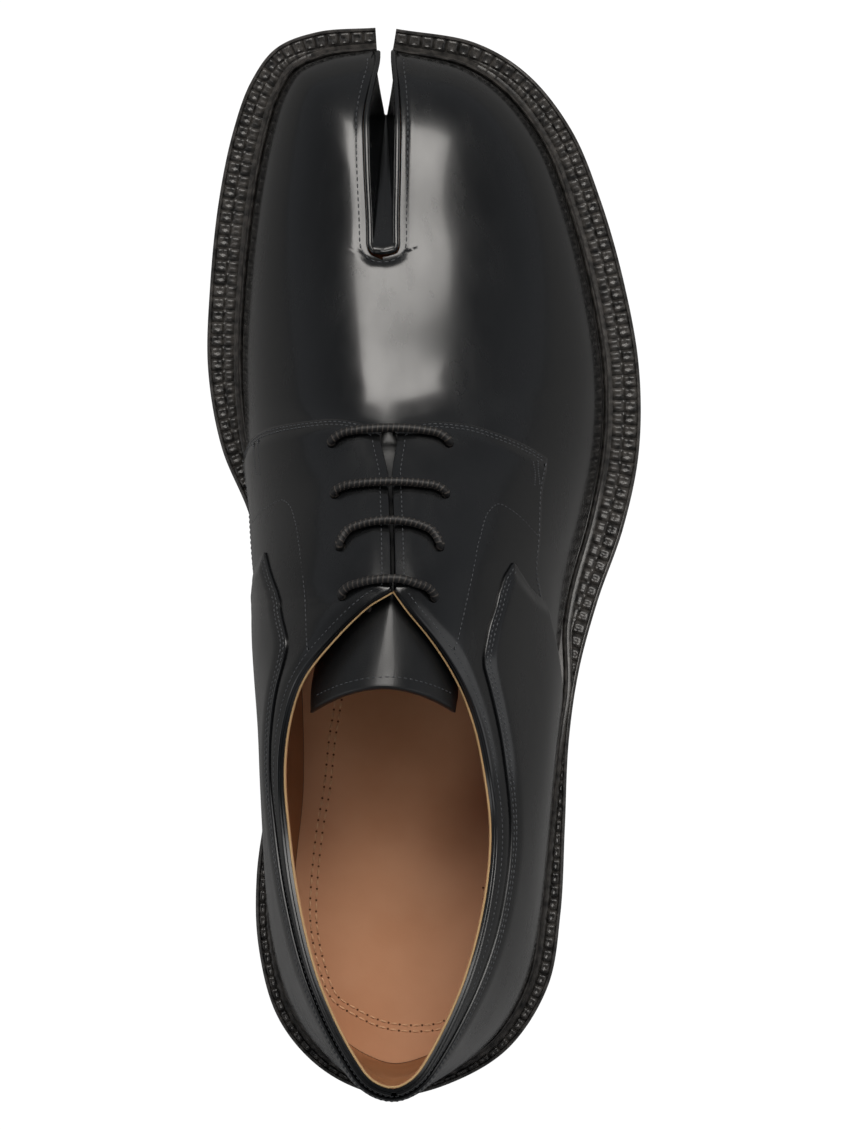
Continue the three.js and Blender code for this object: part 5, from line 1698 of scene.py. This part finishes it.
def heel_ring(inset, stop, count=150, across=24):
    shares = np.linspace(-stop, stop, count)
    xy, inw, _ = outline_at(shares)
    ring = xy + inw * inset
    left, right = ring[0], ring[-1]
    u = np.linspace(1, 0, across + 2)[1:-1]
    breast = left + (right - left) * u[:, None]
    breast[:, 1] -= BREAST_HOLLOW * (1 - (2 * u - 1) ** 2)
    return np.vstack([ring, breast])


def stacked(name, layers, stop):
    """A closed body through rings at (height, inset)."""
    plans = [(heel_ring(inset, stop), z) for z, inset in layers]
    count = len(plans[0][0])
    rings = [np.column_stack([plan, np.full(count, z)]) for plan, z in plans]
    points = np.concatenate(rings)
    faces = grid_faces(len(rings), count, closed=True)
    faces.append(tuple(reversed(range(count))))
    faces.append(tuple((len(rings) - 1) * count + k for k in range(count)))
    return clean(mesh_object(name, points, faces))


stop = breast_share()
top_z, bottom_z = HEEL_RISE - CLEAR, TOP_LIFT_THICK + CLEAR
layers = []
LIFTS = 3
for i in range(LIFTS):
    for t, dip in ((0.0, 0.3), (0.06, 0.04), (0.12, 0.0), (0.88, 0.0), (0.94, 0.04), (1.0, 0.3)):
        if i and t == 0.0:
            continue
        share_up = (i + t) / LIFTS
        z = mix(bottom_z, top_z, share_up)
        layers.append((z, HEEL_INSET + HEEL_TAPER * (1 - share_up) + dip))
heel = stacked("heel block", layers, stop)
rounded(heel, 0.1, 1, 70)
finish(heel, "sole_rubber", ("heel_block",), rubber)
low_inset = HEEL_INSET + HEEL_TAPER
lift_layers = [
    (0.0, low_inset + 0.5), (0.5, low_inset),
    (TOP_LIFT_THICK - 0.3, low_inset), (TOP_LIFT_THICK, low_inset + 0.3),
]
top_lift = stacked("heel top lift", lift_layers, stop)
rounded(top_lift, 0.1, 1, 70)
finish(top_lift, "sole_rubber", ("heel_top_lift",), lift_rubber)

# %% [markdown]
# The studio: a pale floor and a soft sky, dim overhead and brighter at the horizon. A large
# warm softbox in front of the toe lies as a reflection on the vamp, its edge softened by two
# weaker ones; strips stand at the sides, and a lamp without a gleam lights the insole.

# %% Floor and light
bm = bmesh.new()
bmesh.ops.create_grid(bm, x_segments=1, y_segments=1, size=3.0)
floor = from_bmesh("floor", bm)
paper, tree, bsdf = new_material("white paper", "#8c8c8c", 0.9)
seen = node(tree, "ShaderNodeLightPath").outputs["Is Camera Ray"]
share_seen = node(tree, "ShaderNodeMath", {0: seen, 1: 0.92}, operation="MULTIPLY")
bright = node(tree, "ShaderNodeEmission", {"Color": linear("#ffffff"), "Strength": 1.12})
sheet = node(
    tree, "ShaderNodeMixShader", {0: share_seen.outputs[0], 1: bsdf.outputs[0]}
)
tree.links.new(bright.outputs[0], sheet.inputs[2])
tree.links.new(sheet.outputs[0], tree.nodes["Material Output"].inputs["Surface"])
floor.data.materials.append(paper)

world = bpy.data.worlds.new("studio")
bpy.context.scene.world = world
world.use_nodes = True
tree = world.node_tree
background = tree.nodes["Background"]
direction = node(tree, "ShaderNodeTexCoord").outputs["Generated"]
height = node(tree, "ShaderNodeSeparateXYZ", {"Vector": direction}).outputs["Z"]
sky = node(tree, "ShaderNodeValToRGB", {"Fac": height})
HORIZON, OVERHEAD = (0.3, 0.31, 0.33, 1), (0.06, 0.062, 0.066, 1)
for stop, place, colour in zip(sky.color_ramp.elements, (0.0, 0.9), (HORIZON, OVERHEAD)):
    stop.position, stop.color = place, colour
tree.links.new(sky.outputs["Color"], background.inputs["Color"])
background.inputs["Strength"].default_value = 1.0


def softbox(name, place, target, size, power, colour=(1, 1, 1)):
    light = bpy.data.lights.new(name, "AREA")
    light.shape = "RECTANGLE"
    light.size, light.size_y = size
    light.energy = power
    light.color = colour
    lamp = linked(name, light)
    lamp.location = place
    lamp.rotation_euler = (Vector(target) - Vector(place)).to_track_quat("-Z", "Y").to_euler()
    return lamp


softbox("front softbox", (0.1, 1.0, 1.25), (0, 0.08, 0.04), (1.5, 0.5), 18, (1, 0.97, 0.93))
softbox("soft edge", (0.1, 0.72, 1.48), (0, 0.08, 0.04), (1.3, 0.22), 3.2, (1, 0.98, 0.95))
softbox("softer edge", (0.1, 0.5, 1.58), (0, 0.08, 0.04), (1.1, 0.22), 1.2)
softbox("left strip", (-1.6, -0.3, 0.7), (0, 0, 0.05), (0.5, 1.9), 3.2)
softbox("right strip", (1.6, -0.2, 0.8), (0, 0, 0.05), (0.5, 1.9), 2.2)
insole_light = softbox("insole light", (0.02, -1.1, 1.3), (0, -0.07, 0.03), (0.35, 0.35), 4)
insole_light.visible_glossy = False

# %% [markdown]
# The camera looks straight down from 1.4 m, as the photographer's did, with the toe up.
# Its long lens follows from that height and the picture's scale of 3.5 pixels to 1 mm.

# %% Camera
CAMERA_HEIGHT = 1.4
PIXELS_PER_MM, LONG_SIDE, SENSOR = 3.498, 1130, 36
camera_data = bpy.data.cameras.new("camera")
camera_data.sensor_width = SENSOR
camera_data.lens = PIXELS_PER_MM * CAMERA_HEIGHT / MM / LONG_SIDE * SENSOR
camera_data.shift_x = -1 / LONG_SIDE
camera_data.clip_start = 0.01
camera = linked("camera", camera_data)
camera.location = (0, -1.7 * MM, CAMERA_HEIGHT)
bpy.context.scene.camera = camera
bpy.context.scene.view_settings.view_transform = "Standard"
print("lens", round(camera_data.lens, 1), "mm")
